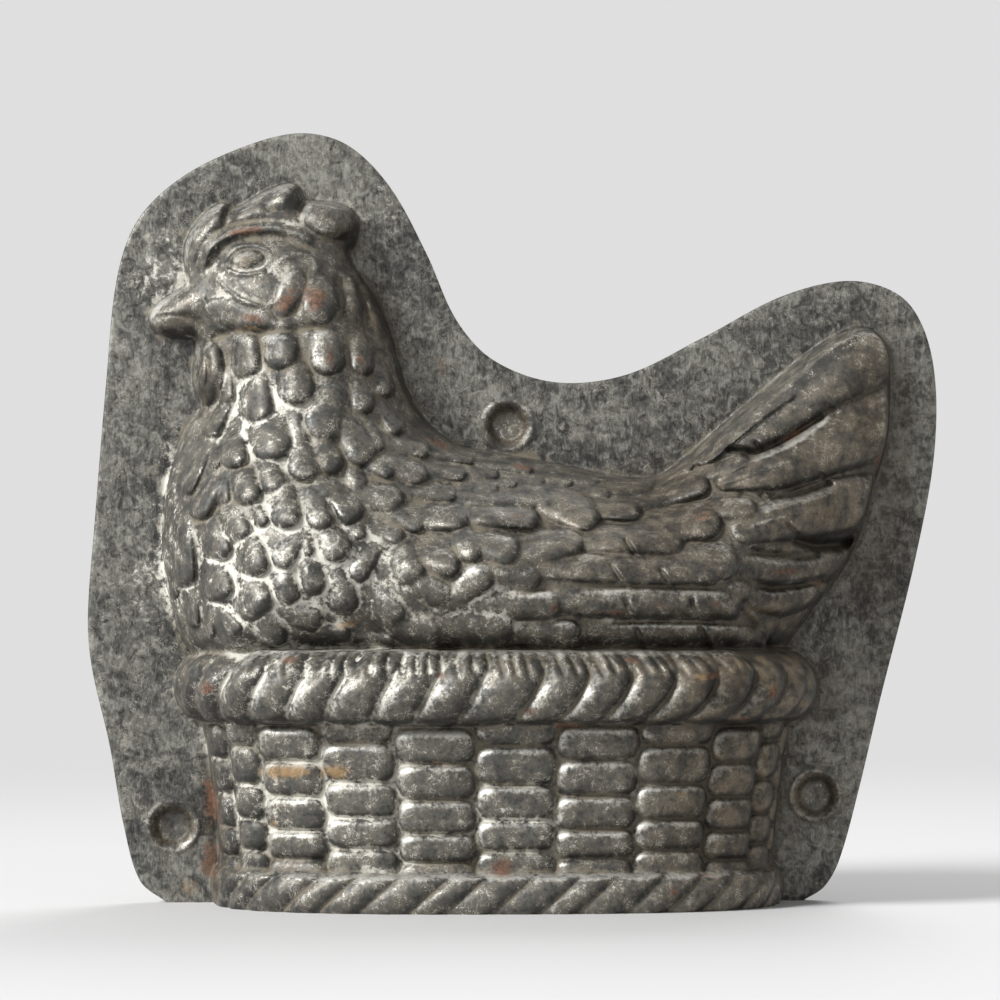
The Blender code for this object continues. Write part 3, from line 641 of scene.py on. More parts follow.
    def weave(self, walked: Grid, z: float, joints: Grid) -> Grid:
        """Return how far the wall's strands stand out, 0 at their fullest.

        Args:
            walked: places along the plan.
            z: the height.
            joints: where the columns of strands meet, along the plan.

        Returns:
            The rise at each place.
        """
        number = np.clip(np.searchsorted(joints, walked) - 1, 0, len(joints) - 2)
        to_joint = np.minimum(walked - joints[number], joints[number + 1] - walked)
        rise = np.zeros(walked.shape)
        for parity, gaps in ((1, self.even_gaps), (0, self.odd_gaps)):
            shifted = z - 0.35 * np.sin(number * 1.9 + 0.7)
            row = np.searchsorted(gaps, shifted, side="right") - 1
            held = np.clip(row, 0, len(gaps) - 2)
            low, high = np.array(gaps)[held], np.array(gaps)[held + 1]
            half = (high - low) / 2
            up = (shifted - low) / half - 1.0
            over = np.maximum(half * 1.05 - to_joint, 0.0) / (half * 1.05)
            reach = np.abs(up) ** 3.3 + over**1.9
            bulge = 0.86 + 0.14 * ease(to_joint / 4.0)
            pill = np.clip(1.0 - reach, 0.0, 1.0) ** 0.45 * bulge
            pill = np.where((row >= 0) & (row < len(gaps) - 1), pill, 0.0)
            rise = np.where(number % 2 == parity, pill, rise)
        return self.strand_rise * (rise - 1.0)

    def turns(self, walked: Grid, z: float, creases: Grid, slant: float, bow: float, middle: float) -> Grid:
        """Return how round each turn of a rope stands, from 0 in a crease to 1 on its back.

        Args:
            walked: places along the plan.
            z: the height.
            creases: where the creases are at the rope's middle height.
            slant: how far a crease leans along the plan for each millimetre up.
            bow: how much less it leans further up.
            middle: the rope's middle height.

        Returns:
            The roundness at each place.
        """
        away = z - middle
        at_middle = walked - slant * away + bow * away * away
        turn = np.interp(at_middle, creases, np.arange(len(creases)))
        share = turn - np.floor(turn)
        return np.abs(np.sin(np.pi * share)) ** 0.55 * (0.86 + 0.14 * share)

    def rope_on_rim(self, walked: Grid, z: float, creases: Grid) -> Grid:
        """Return how far the rim's rope stands out, 0 at its fullest, with the pleats along its top.

        Args:
            walked: places along the plan.
            z: the height.
            creases: where the creases between its turns are, along the plan.

        Returns:
            The rise at each place.
        """
        away = z - self.rim_middle()
        round_turn = self.turns(walked, z, creases, 0.5, 0.02, self.rim_middle())
        bent = walked + 0.2 * away + 0.35 * np.sin(walked * 0.53)
        pleats = np.abs(np.sin(np.pi * bent / self.pleat_pitch)) ** 0.8
        band = float(ease(np.array((away - 1.4) / 2.2)))
        patchy = 0.35 + 0.65 * np.exp(-((walked / 34.0) ** 4)) * (0.75 + 0.25 * np.sin(walked * 0.9))
        reach = min(max(away, 0.0), self.rim_roll_radius - 1.2)
        roll_slope = reach / math.sqrt(self.rim_roll_radius**2 - reach**2)
        uneven = 0.5 * np.sin(walked * 0.93 + 0.6) + 0.4 * np.sin(walked * 0.37 + 2.0)
        carved = self.rope_rise * (round_turn - 1.0) * (1.0 - 0.45 * band)
        return carved - self.pleat_depth * band * patchy * (1.0 - pleats) + roll_slope * (uneven - 0.5) * 0.8

    def rope_on_foot(self, walked: Grid, z: float) -> Grid:
        """Return how far the foot's rope stands out, 0 at its fullest.

        Args:
            walked: places along the plan.
            z: the height.

        Returns:
            The rise at each place.
        """
        numbers = np.arange(-self.foot_marks, self.foot_marks + 1)
        creases = numbers * self.foot_pitch + 0.9 + 0.7 * np.sin(numbers * 2.3)
        round_turn = self.turns(walked, z, creases, 1.15, 0.0, self.foot_height / 2)
        return self.foot_rope_rise * (round_turn - 1.0)

    def along_plan(
        self, marks: Sequence[float], pitch: float, half: float, across: Grid, walked: Grid
    ) -> Grid:
        """Turn places given by their x into places along the plan, and carry on past both ends.

        Args:
            marks: the places' x.
            pitch: from one place to the next, past those given.
            half: half the plan's length where they are.
            across: the plan's shares of that half length.
            walked: the places along the plan that go with the shares.

        Returns:
            The places along the plan.
        """
        known = np.interp((np.array(marks) - self.middle) / half, across, walked)
        before = known[0] - pitch * np.arange(self.spare_marks, 0, -1)
        after = known[-1] + pitch * np.arange(1, self.spare_marks + 1)
        return np.concatenate([before, known, after])

    def heights(self, places: Field) -> Grid:
        """Work out the basket's height.

        Args:
            places: the grid.

        Returns:
            Its height at each place, far below 0 where it has none.
        """
        turn = np.linspace(0.0, np.pi, self.plan_steps)
        power = 2.0 / self.corner_power
        across = -np.sign(np.cos(turn)) * np.abs(np.cos(turn)) ** power
        out = np.abs(np.sin(turn)) ** power
        steps = np.hypot(np.diff(across) * self.wall_half_length, np.diff(out) * self.wall_depth)
        walked = np.concatenate([[0.0], np.cumsum(steps)])
        walked -= walked[-1] / 2
        creases = self.along_plan(self.rim_turns, self.turn_pitch, self.rim_half_length, across, walked)
        joints = self.along_plan(self.columns, self.column_pitch, self.wall_half_length + 0.8, across, walked)
        shown = ease((out - 0.1) / 0.3)
        result = np.full(places.x.shape, self.nowhere)
        for row, z in enumerate(places.zs):
            if z > self.rim_top + self.shelf_height:
                break
            half_length, depth = self.section(float(z))
            plan_x = self.middle + across * half_length
            plan_y = out * depth
            if z < self.foot_height + 0.5:
                carving = self.rope_on_foot(walked, float(max(z, 0.0)))
            elif z < self.wall_top + 0.5:
                carving = self.weave(walked, float(z), joints)
            else:
                carving = self.rope_on_rim(walked, float(z), creases)
            run = np.gradient(plan_x)
            climb = np.gradient(plan_y)
            length = np.hypot(run, climb)
            carving = carving * shown
            moved_x = plan_x - climb / length * carving
            moved_y = plan_y + run / length * carving
            moved_x = np.maximum.accumulate(moved_x)
            line = np.interp(places.xs, moved_x, moved_y)
            beyond = np.maximum(plan_x[0] - places.xs, places.xs - plan_x[-1])
            result[row] = np.where(beyond > 0, -self.end_slope * beyond, line)
        return result


# The hen


@dataclass
class Hen:
    """The hen: her masses, the line where she rises from the flange, and everything pressed on her.

    Attributes:
        outline: where she leaves the flange, as (x, z), from the rim up the breast and round.
        masses: how far she stands out at places, as (x, z, depth).
        mass_spread: how far each of those is felt.
        edge_round: share of her depth over which her edge is rounded.
        edge_least: the narrowest that rounding gets.
        edge_most: the widest it gets.
        bed: how far the hollows between the feathers lie under her plain shape.
        feathers: her short feathers.
        plumes: her long wing and tail feathers.
        swells: the lumps of her head.
        folds: lines pressed in or out.
        barbs: the notches that part her long feathers.
        tilt_limit: the steepest ground, as a squared slope, that lifts what is pressed on it.
        outside_slope: how steeply her height falls off outside her outline.
    """

    outline: tuple[Point, ...] = (
        (-48.0, 36.0), (-54.6, 42.2), (-57.4, 48.4), (-59.3, 58.5), (-59.4, 63.0), (-58.4, 71.0),
        (-55.2, 79.6), (-52.9, 83.2), (-54.2, 87.0), (-54.0, 93.6), (-54.4, 94.9), (-57.6, 95.1),
        (-60.7, 96.2), (-61.7, 98.4), (-60.6, 100.6), (-58.0, 102.5), (-55.6, 104.4), (-55.9, 108.4),
        (-55.4, 111.8), (-53.6, 114.8), (-50.9, 117.3), (-49.1, 117.9), (-47.8, 116.9), (-45.8, 117.7),
        (-43.7, 119.1), (-41.0, 120.5), (-38.2, 121.3), (-36.5, 120.7), (-35.3, 118.7), (-30.6, 118.1),
        (-28.4, 117.3), (-26.8, 115.9), (-26.3, 114.0), (-26.9, 111.6), (-28.0, 109.2), (-26.1, 105.5),
        (-23.9, 102.3), (-22.1, 98.7), (-20.7, 94.6), (-19.6, 90.6), (-18.5, 87.0), (-17.0, 84.0),
        (-15.0, 81.1), (-12.6, 78.8), (-9.6, 77.0), (-2.4, 75.6), (4.4, 74.4), (11.2, 73.0),
        (18.0, 71.7), (24.0, 71.6), (28.0, 74.2), (35.6, 80.7), (45.9, 89.4), (50.7, 93.3),
        (55.0, 96.0), (58.2, 97.3), (60.6, 96.9), (62.5, 95.2), (63.5, 92.6), (63.8, 89.3),
        (63.7, 83.3), (63.3, 78.5), (62.2, 74.0), (60.7, 69.5), (59.4, 64.7), (57.9, 60.5),
        (56.1, 56.9), (53.7, 53.3), (50.7, 49.7), (47.2, 44.8), (44.0, 41.0), (38.0, 36.0),
    )
    masses: tuple[tuple[float, float, float], ...] = (
        (-61.0, 98.7, 3.2), (-55.0, 100.0, 7.8), (-52.0, 114.0, 4.6), (-43.0, 119.0, 4.5),
        (-28.5, 114.0, 5.5), (-42.0, 109.0, 12.0), (-41.0, 102.0, 15.0), (-52.0, 88.0, 6.5),
        (-36.0, 94.0, 16.5), (-24.0, 95.0, 14.5), (-37.0, 84.0, 19.0), (-24.0, 83.0, 18.0),
        (-42.0, 72.0, 24.0), (-53.0, 62.0, 25.0), (-38.0, 58.0, 30.5), (-16.0, 70.0, 25.0),
        (-8.0, 55.0, 33.0), (10.0, 70.0, 22.5), (14.0, 56.0, 33.6), (32.0, 54.0, 30.6),
        (32.0, 68.0, 22.5), (44.0, 64.0, 18.0), (48.0, 80.0, 11.5), (60.0, 90.0, 8.5),
        (56.0, 66.0, 11.5), (46.0, 48.0, 22.0), (-42.0, 44.0, 31.4), (0.0, 42.0, 33.8),
    )
    mass_spread: float = 7.0
    edge_round: float = 0.9
    edge_least: float = 3.0
    edge_most: float = 24.0
    bed: float = 0.9
    feathers: tuple[Feather, ...] = field(default_factory=lambda: tuple(Feather(*row) for row in FEATHERS))
    plumes: tuple[Plume, ...] = field(default_factory=lambda: PLUMES)
    swells: tuple[Swell, ...] = field(default_factory=lambda: SWELLS)
    folds: tuple[Fold, ...] = field(default_factory=lambda: FOLDS)
    barbs: tuple[Fold, ...] = field(default_factory=lambda: tuple(barb_folds()))
    tilt_limit: float = 2.0
    outside_slope: float = 4.0

    def plain(self, places: Field) -> tuple[Grid, Grid]:
        """Work out her plain shape.

        Args:
            places: the grid.

        Returns:
            Her height without any carving, and how far inside her outline each place lies.
        """
        weights = np.full(places.x.shape, 1e-9)
        total = np.zeros(places.x.shape)
        for mass_x, mass_z, depth in self.masses:
            gap = (places.x - mass_x) ** 2 + (places.z - mass_z) ** 2
            weight = np.exp(-gap / (2 * self.mass_spread**2))
            weights += weight
            total += weight * depth
        depth = total / weights
        outline = smooth_line(self.outline, closed=True, steps=3)
        _, _, gap = follow(places.x, places.z, np.vstack([outline, outline[:1]]))
        inward = np.where(is_inside(places.x, places.z, outline), gap, -gap)
        edge = np.clip(depth * self.edge_round, self.edge_least, self.edge_most)
        share = np.clip(inward / edge, 0.0, 1.0)
        risen = depth * np.sqrt(1.0 - (1.0 - share) ** 2)
        return np.where(inward > 0, risen, inward * self.outside_slope), inward

    def carving(self, places: Field) -> Grid:
        """Work out everything that is pressed on her.

        Args:
            places: the grid.

        Returns:
            How far it stands out of the hollows between, square to her.
        """
        proud = np.zeros(places.x.shape)
        for form in (*self.feathers, *self.plumes):
            part = places.window(form.box())
            proud[part] = np.maximum(proud[part], form.height(places.x[part], places.z[part]))
        for form in (*self.swells, *self.folds, *self.barbs):
            part = places.window(form.box())
            proud[part] += form.height(places.x[part], places.z[part])
        return proud

    def heights(self, places: Field) -> Grid:
        """Work out her height.

        Args:
            places: the grid.

        Returns:
            Her height at each place, below 0 outside her outline.
        """
        plain, inward = self.plain(places)
        calm = blurred(np.maximum(plain, 0.0), 1.2 / places.step)
        slope_z, slope_x = np.gradient(calm, places.step)
        tilt = np.sqrt(1.0 + np.minimum(slope_x**2 + slope_z**2, self.tilt_limit**2))
        beds = self.bed * ease(np.maximum(plain, 0.0) / 14.0)
        unevenness = 0.09 * places.ripple(2.2, 11) + 0.12 * places.ripple(5.5, 12)
        shown = ease(inward / 1.6)
        return plain + (self.carving(places) - beds + unevenness) * tilt * shown


# Short feathers: middle x and z, length, width, and where the tip points
FEATHERS: tuple[tuple[float, ...], ...] = (
    # Neck
    (-45.3, 91.2, 7.5, 4.6, -90), (-39.4, 92.0, 6.5, 5.5, -90), (-31.8, 91.3, 7.0, 5.6, -90),
    (-26.0, 91.0, 6.0, 4.0, -85), (-43.5, 83.4, 7.0, 5.4, -88), (-37.0, 86.0, 6.5, 6.0, -80),
    (-33.6, 84.3, 2.6, 1.8, -80), (-32.0, 81.0, 8.5, 6.5, -110), (-26.0, 84.0, 5.0, 4.0, -80),
    (-50.3, 80.5, 6.0, 3.0, -120), (-50.3, 74.0, 3.0, 1.6, -88), (-47.2, 74.8, 5.0, 4.6, -85),
    (-41.0, 76.8, 6.5, 7.0, -75), (-36.2, 78.0, 4.4, 2.7, -80), (-35.6, 73.0, 6.0, 5.4, -80),
    (-31.6, 74.2, 6.0, 5.0, -75), (-27.0, 76.5, 8.0, 5.5, -60), (-23.8, 77.0, 4.0, 2.4, -70),
    (-17.0, 76.0, 5.0, 2.8, -15), (-22.8, 72.8, 5.0, 3.6, -20), (-17.8, 71.8, 5.5, 3.8, -15),
    (-48.6, 85.6, 4.4, 3.0, -95), (-22.4, 87.0, 5.0, 3.0, -75), (-21.0, 80.4, 5.0, 3.0, -55),
    # Back, behind the neck
    (-11.4, 71.9, 5.4, 2.7, -5), (-10.5, 74.6, 7.0, 1.7, -8), (-5.8, 71.9, 5.2, 1.7, -5),
    (-2.0, 70.2, 3.4, 1.4, -3), (2.0, 70.8, 5.2, 2.1, -5), (7.3, 70.6, 4.2, 1.7, -5),
    (11.0, 71.0, 5.4, 1.4, -6), (-1.2, 73.0, 7.6, 1.5, -8), (-6.0, 69.3, 5.0, 2.3, -5),
    (13.2, 69.1, 5.2, 2.3, -8), (-2.6, 67.4, 12.0, 2.9, -3), (-2.8, 64.4, 11.6, 3.8, -3),
    (8.3, 65.9, 10.4, 6.4, -22), (-13.2, 64.4, 9.0, 4.7, 0), (-14.0, 68.5, 7.2, 2.9, -5),
    (-9.0, 59.4, 5.4, 4.3, -70), (-4.0, 59.0, 7.0, 5.1, -15), (5.0, 59.2, 10.8, 4.5, 22),
    (4.6, 61.5, 7.4, 1.8, 8),
    # Breast, upper part
    (-53.5, 72.0, 8.0, 2.2, -115), (-52.0, 66.8, 6.0, 3.6, -125), (-48.8, 68.0, 3.6, 2.3, -90),
    (-45.0, 68.7, 5.2, 4.8, -80), (-41.0, 70.6, 5.0, 4.4, -75), (-38.8, 65.5, 6.5, 4.8, -88),
    (-42.9, 64.3, 3.7, 3.0, -60), (-46.8, 62.8, 5.5, 5.0, -70), (-27.0, 70.5, 4.0, 3.0, -60),
    (-32.5, 69.5, 5.0, 3.5, -60), (-33.2, 65.0, 6.0, 4.7, -75), (-29.0, 66.2, 7.0, 4.9, -55),
    (-22.7, 67.5, 7.0, 4.7, -10), (-19.0, 64.3, 7.0, 3.7, -28), (-26.6, 62.0, 2.9, 1.9, -90),
    # Breast, lower part
    (-49.8, 59.8, 5.5, 4.5, -75), (-55.4, 57.5, 9.0, 3.8, -88), (-57.4, 53.3, 4.5, 1.5, -80),
    (-49.9, 53.2, 5.8, 5.4, -75), (-44.0, 57.3, 6.0, 5.0, -75), (-38.7, 58.0, 5.0, 3.7, -130),
    (-43.8, 50.4, 5.8, 6.4, -75), (-38.5, 52.0, 4.5, 4.2, -80), (-53.9, 49.0, 5.5, 2.1, -88),
    (-56.0, 47.4, 3.0, 1.1, -88), (-51.0, 46.3, 3.4, 1.3, -85), (-47.8, 46.8, 5.0, 3.0, -50),
    (-40.8, 45.4, 5.0, 4.4, -65), (-35.5, 48.0, 6.0, 3.8, -15), (-30.6, 59.3, 5.0, 4.9, -60),
    (-35.0, 59.0, 2.5, 1.9, -90), (-34.2, 53.9, 4.7, 4.2, -70), (-26.2, 56.2, 5.6, 3.4, -125),
    (-29.4, 51.1, 5.6, 4.8, -80), (-30.0, 45.4, 4.0, 2.6, -10),
    # Wing shoulder and the front of the wing
    (-18.8, 56.0, 6.0, 5.2, -75), (-13.4, 56.8, 6.0, 4.6, -20), (-14.8, 52.4, 7.0, 4.6, -30),
    (-21.6, 48.6, 5.2, 4.6, -60), (-16.4, 45.3, 7.6, 5.4, -15), (-23.0, 43.8, 5.0, 2.2, -10),
    (-21.6, 61.5, 4.7, 3.0, -20), (-8.8, 53.0, 9.0, 4.9, 42), (-1.2, 54.8, 8.0, 4.5, -8),
    (-0.3, 49.8, 13.0, 4.9, 0), (-7.2, 45.6, 12.0, 6.8, -5, 0.3), (4.5, 44.8, 10.6, 5.3, 0),
    # Upper wing towards the tail
    (15.8, 65.8, 9.2, 3.9, -3), (19.2, 69.5, 8.0, 3.1, 8), (18.2, 71.5, 7.0, 1.8, 3),
    (25.3, 72.3, 9.2, 2.8, 22), (26.0, 69.0, 11.8, 4.5, 18), (27.4, 63.6, 11.6, 6.3, 6),
    (31.0, 57.3, 9.6, 5.9, -6), (36.0, 52.3, 3.9, 3.6, -10), (35.8, 65.8, 7.2, 3.9, 0),
    (34.8, 73.2, 8.6, 3.7, 18),
)

# Long feathers of the wing, from its top down, and of the tail, from its top down
PLUMES = (
    Plume(((10.0, 60.8), (17.0, 60.6), (24.6, 60.4)), (4.4, 5.2, 5.0), 2.1, 0.3),
    Plume(((3.0, 56.3), (15.0, 55.9), (30.2, 55.6)), (4.2, 5.3, 5.0), 2.1, 0.3),
    Plume(((5.6, 50.4), (20.0, 50.2), (34.2, 50.0)), (4.2, 5.3, 4.8), 2.1, 0.3),
    Plume(((10.0, 44.7), (25.0, 44.5), (39.6, 44.2)), (4.6, 5.4, 4.6), 2.0, 0.3),
    Plume(((30.5, 74.6), (39.0, 79.8), (48.0, 86.0), (55.0, 90.2), (61.0, 92.6)),
          (3.0, 9.5, 11.0, 12.4, 11.0), 3.2, 0.3),
    Plume(((34.0, 70.8), (42.0, 72.8), (50.0, 76.2), (57.0, 79.2), (62.4, 81.4)),
          (4.0, 7.6, 10.2, 12.0, 12.4), 3.0, 0.35),
    Plume(((36.6, 62.4), (44.0, 64.4), (52.0, 66.4), (59.4, 67.6)), (4.8, 7.8, 9.4, 9.4), 2.8, 0.35),
    Plume(((37.0, 56.2), (43.0, 55.8), (49.0, 56.2), (54.6, 57.2)), (3.8, 5.0, 5.6, 5.2), 1.9, 0.2),
    Plume(((39.0, 50.8), (44.0, 50.6), (49.0, 51.8)), (3.6, 4.8, 4.2), 1.4, 0.2),
)

SWELLS = (
    # Eye, the hollow before it, and the cheek with its lobes
    Swell(-45.0, 107.5, 2.9, 1.6, 8.0, 1.3),
    Swell(-50.4, 107.2, 2.2, 1.7, 0.0, -0.8, crisp=False),
    Swell(-44.2, 103.0, 5.6, 3.4, -16.0, 1.0),
    Swell(-46.2, 98.4, 6.4, 2.6, -16.0, 1.3),
    Swell(-38.0, 101.8, 4.5, 2.2, 66.0, 1.6),
    Swell(-32.9, 100.6, 4.4, 3.1, 82.0, 2.1),
    # Beak, lower beak and wattle
    Swell(-56.4, 96.5, 4.4, 1.4, -3.0, 0.5, crisp=False),
    Swell(-55.0, 101.2, 4.6, 2.3, 30.0, 0.7, crisp=False),
    Swell(-51.5, 88.8, 5.4, 2.6, 86.0, 1.7),
    # Lobes of the comb
    Swell(-53.0, 111.4, 4.8, 2.6, 60.0, 0.7, crisp=False),
    Swell(-50.2, 115.2, 2.6, 2.2, 30.0, 0.7, crisp=False),
    Swell(-43.6, 116.6, 6.0, 2.8, 25.0, 0.9, crisp=False),
    Swell(-38.6, 118.4, 2.8, 2.0, 10.0, 0.8, crisp=False),
    Swell(-31.2, 114.8, 5.1, 3.3, -14.0, 2.1),
)

FOLDS = (
    # Eyelids, brow and the foot of the comb
    Fold(0.4, 0.35, ((-48.9, 107.3), (-47.4, 109.3), (-44.8, 110.1), (-42.4, 109.6), (-41.0, 108.6))),
    Fold(0.45, 0.4, ((-49.0, 106.3), (-46.4, 105.1), (-43.4, 105.3), (-41.2, 106.8))),
    Fold(0.85, 0.65, ((-52.4, 106.4), (-51.2, 109.6), (-47.6, 112.0), (-43.0, 112.8), (-38.4, 112.4),
                      (-34.0, 110.6))),
    Fold(-0.4, 0.9, ((-51.0, 107.6), (-47.6, 110.6), (-42.4, 111.4), (-37.4, 110.6), (-33.8, 108.6))),
    Fold(-0.3, 0.5, ((-53.6, 107.0), (-52.4, 110.6), (-49.6, 113.0), (-45.6, 114.2), (-41.0, 114.5),
                     (-36.6, 113.8))),
    Fold(0.3, 0.35, ((-56.2, 108.2), (-55.4, 112.2), (-53.0, 115.4), (-50.4, 117.2))),
    # Between the lobes of the comb
    Fold(-0.6, 0.5, ((-47.9, 116.8), (-48.9, 115.0), (-49.0, 113.6))),
    Fold(-0.3, 0.5, ((-42.4, 117.6), (-41.6, 116.4), (-38.6, 115.7))),
    Fold(-0.6, 0.5, ((-35.4, 118.6), (-36.2, 117.0), (-35.8, 114.8))),
    # Mouth, jowl and the folds round the lobes
    Fold(-0.45, 0.3, ((-60.6, 98.3), (-57.4, 98.6), (-54.0, 98.0), (-52.2, 96.4))),
    Fold(0.4, 0.4, ((-52.6, 101.6), (-51.4, 98.6), (-49.6, 96.2), (-46.6, 94.6))),
    Fold(0.55, 0.45, ((-50.6, 104.9), (-48.4, 102.4), (-45.2, 100.4), (-42.0, 99.4), (-40.2, 100.4))),
    Fold(0.5, 0.6, ((-40.2, 106.6), (-38.0, 108.2), (-35.4, 108.4), (-33.7, 107.2), (-33.9, 105.2),
                    (-35.4, 103.0), (-36.1, 100.4), (-35.9, 97.2))),
    Fold(-0.7, 0.7, ((-29.8, 105.4), (-29.3, 101.0), (-29.9, 97.0))),
    Fold(0.5, 0.8, ((-27.9, 105.6), (-27.2, 101.6), (-27.6, 95.4))),
    Fold(-0.4, 0.6, ((-26.2, 104.2), (-25.4, 100.0), (-25.6, 94.0))),
    Fold(0.4, 0.8, ((-24.8, 101.8), (-23.6, 98.0), (-23.2, 92.4))),
    Fold(-0.9, 0.8, ((-51.4, 94.8), (-46.0, 95.5), (-39.4, 95.3), (-33.6, 95.9), (-29.6, 95.3))),
    Fold(-0.4, 0.35, ((-52.0, 92.0), (-51.6, 89.0), (-51.8, 86.4))),
    # The notch of the broad feather on the breast
    Fold(-1.6, 0.5, ((-31.9, 66.2), (-30.6, 64.2), (-29.4, 62.6))),
    # Shafts of the tail, and the lines between its feathers
    Fold(-1.2, 0.5, ((34.6, 76.1), (37.0, 75.8), (40.2, 75.0))),
    Fold(-0.8, 0.45, ((36.2, 68.2), (38.2, 67.6), (40.6, 66.4))),
    Fold(-1.4, 0.6, ((39.6, 75.4), (43.4, 77.0), (47.4, 79.2), (51.4, 81.9))),
    Fold(-1.2, 0.6, ((41.4, 67.4), (46.6, 68.4), (52.6, 70.6))),
    Fold(-2.2, 0.8, ((45.4, 61.2), (48.4, 60.2), (52.0, 60.1), (57.6, 60.8))),
    Fold(-1.0, 0.7, ((37.4, 58.9), (42.0, 58.2), (46.4, 57.9), (50.6, 58.6))),
    Fold(-0.8, 0.5, ((38.6, 53.4), (42.2, 52.7), (46.0, 53.2), (51.6, 54.4))),
    Fold(-0.7, 0.6, ((35.0, 50.0), (38.0, 47.2), (40.6, 44.6), (42.6, 42.6))),
    Fold(0.5, 0.35, ((31.6, 73.6), (36.0, 77.4), (41.0, 81.4), (46.4, 85.2))),
    Fold(0.35, 0.35, ((32.4, 70.6), (38.0, 73.4), (43.4, 75.4), (48.6, 78.0))),
    Fold(0.35, 0.35, ((33.4, 70.0), (40.0, 72.2), (47.0, 74.4))),
    Fold(0.45, 0.35, ((48.4, 90.2), (53.4, 93.6), (57.6, 95.6))),
    Fold(0.3, 0.35, ((38.6, 64.8), (45.0, 66.4), (53.0, 68.6))),
    Fold(0.3, 0.35, ((37.6, 62.8), (44.0, 64.6), (50.0, 65.6))),
)

# Barbs that part the long feathers, each from its upper left end to its lower right one
BARBS: tuple[tuple[float, float, float, float], ...] = (
    (16.6, 60.9, 18.4, 57.9), (13.9, 56.6, 16.4, 52.9), (21.9, 56.0, 24.2, 52.9), (16.2, 50.8, 18.0, 47.6),
    (27.2, 51.2, 28.5, 47.9), (18.4, 46.2, 20.4, 42.1), (29.0, 46.6, 31.5, 42.1), (51.2, 83.9, 53.6, 82.3),
    (39.2, 77.3, 42.0, 75.4), (50.0, 72.2, 52.6, 70.2), (39.8, 68.6, 41.6, 66.6), (43.9, 63.8, 46.2, 61.6),
)


def barb_folds() -> Iterable[Fold]:
    """Make each barb a sunk line with a raised one beside it.

    Returns:
        The lines, two for each barb.
    """
    for left, top, right, bottom in BARBS:
        x, z = (left + right) / 2, (top + bottom) / 2
        yield Fold(-0.6, 0.35, ((left, top), (x - 0.1, z), (right, bottom)))
        yield Fold(0.4, 0.3, ((left + 0.75, top), (x + 0.65, z), (right + 0.75, bottom)))


# The whole pressing


class Half(Enum):
    """The two halves of the mould."""

    FRONT = "front"
    BACK = "back"

    @property
    def side(self) -> int:
        """Return -1 for the front half and 1 for the back one."""
        return -1 if self is Half.FRONT else 1


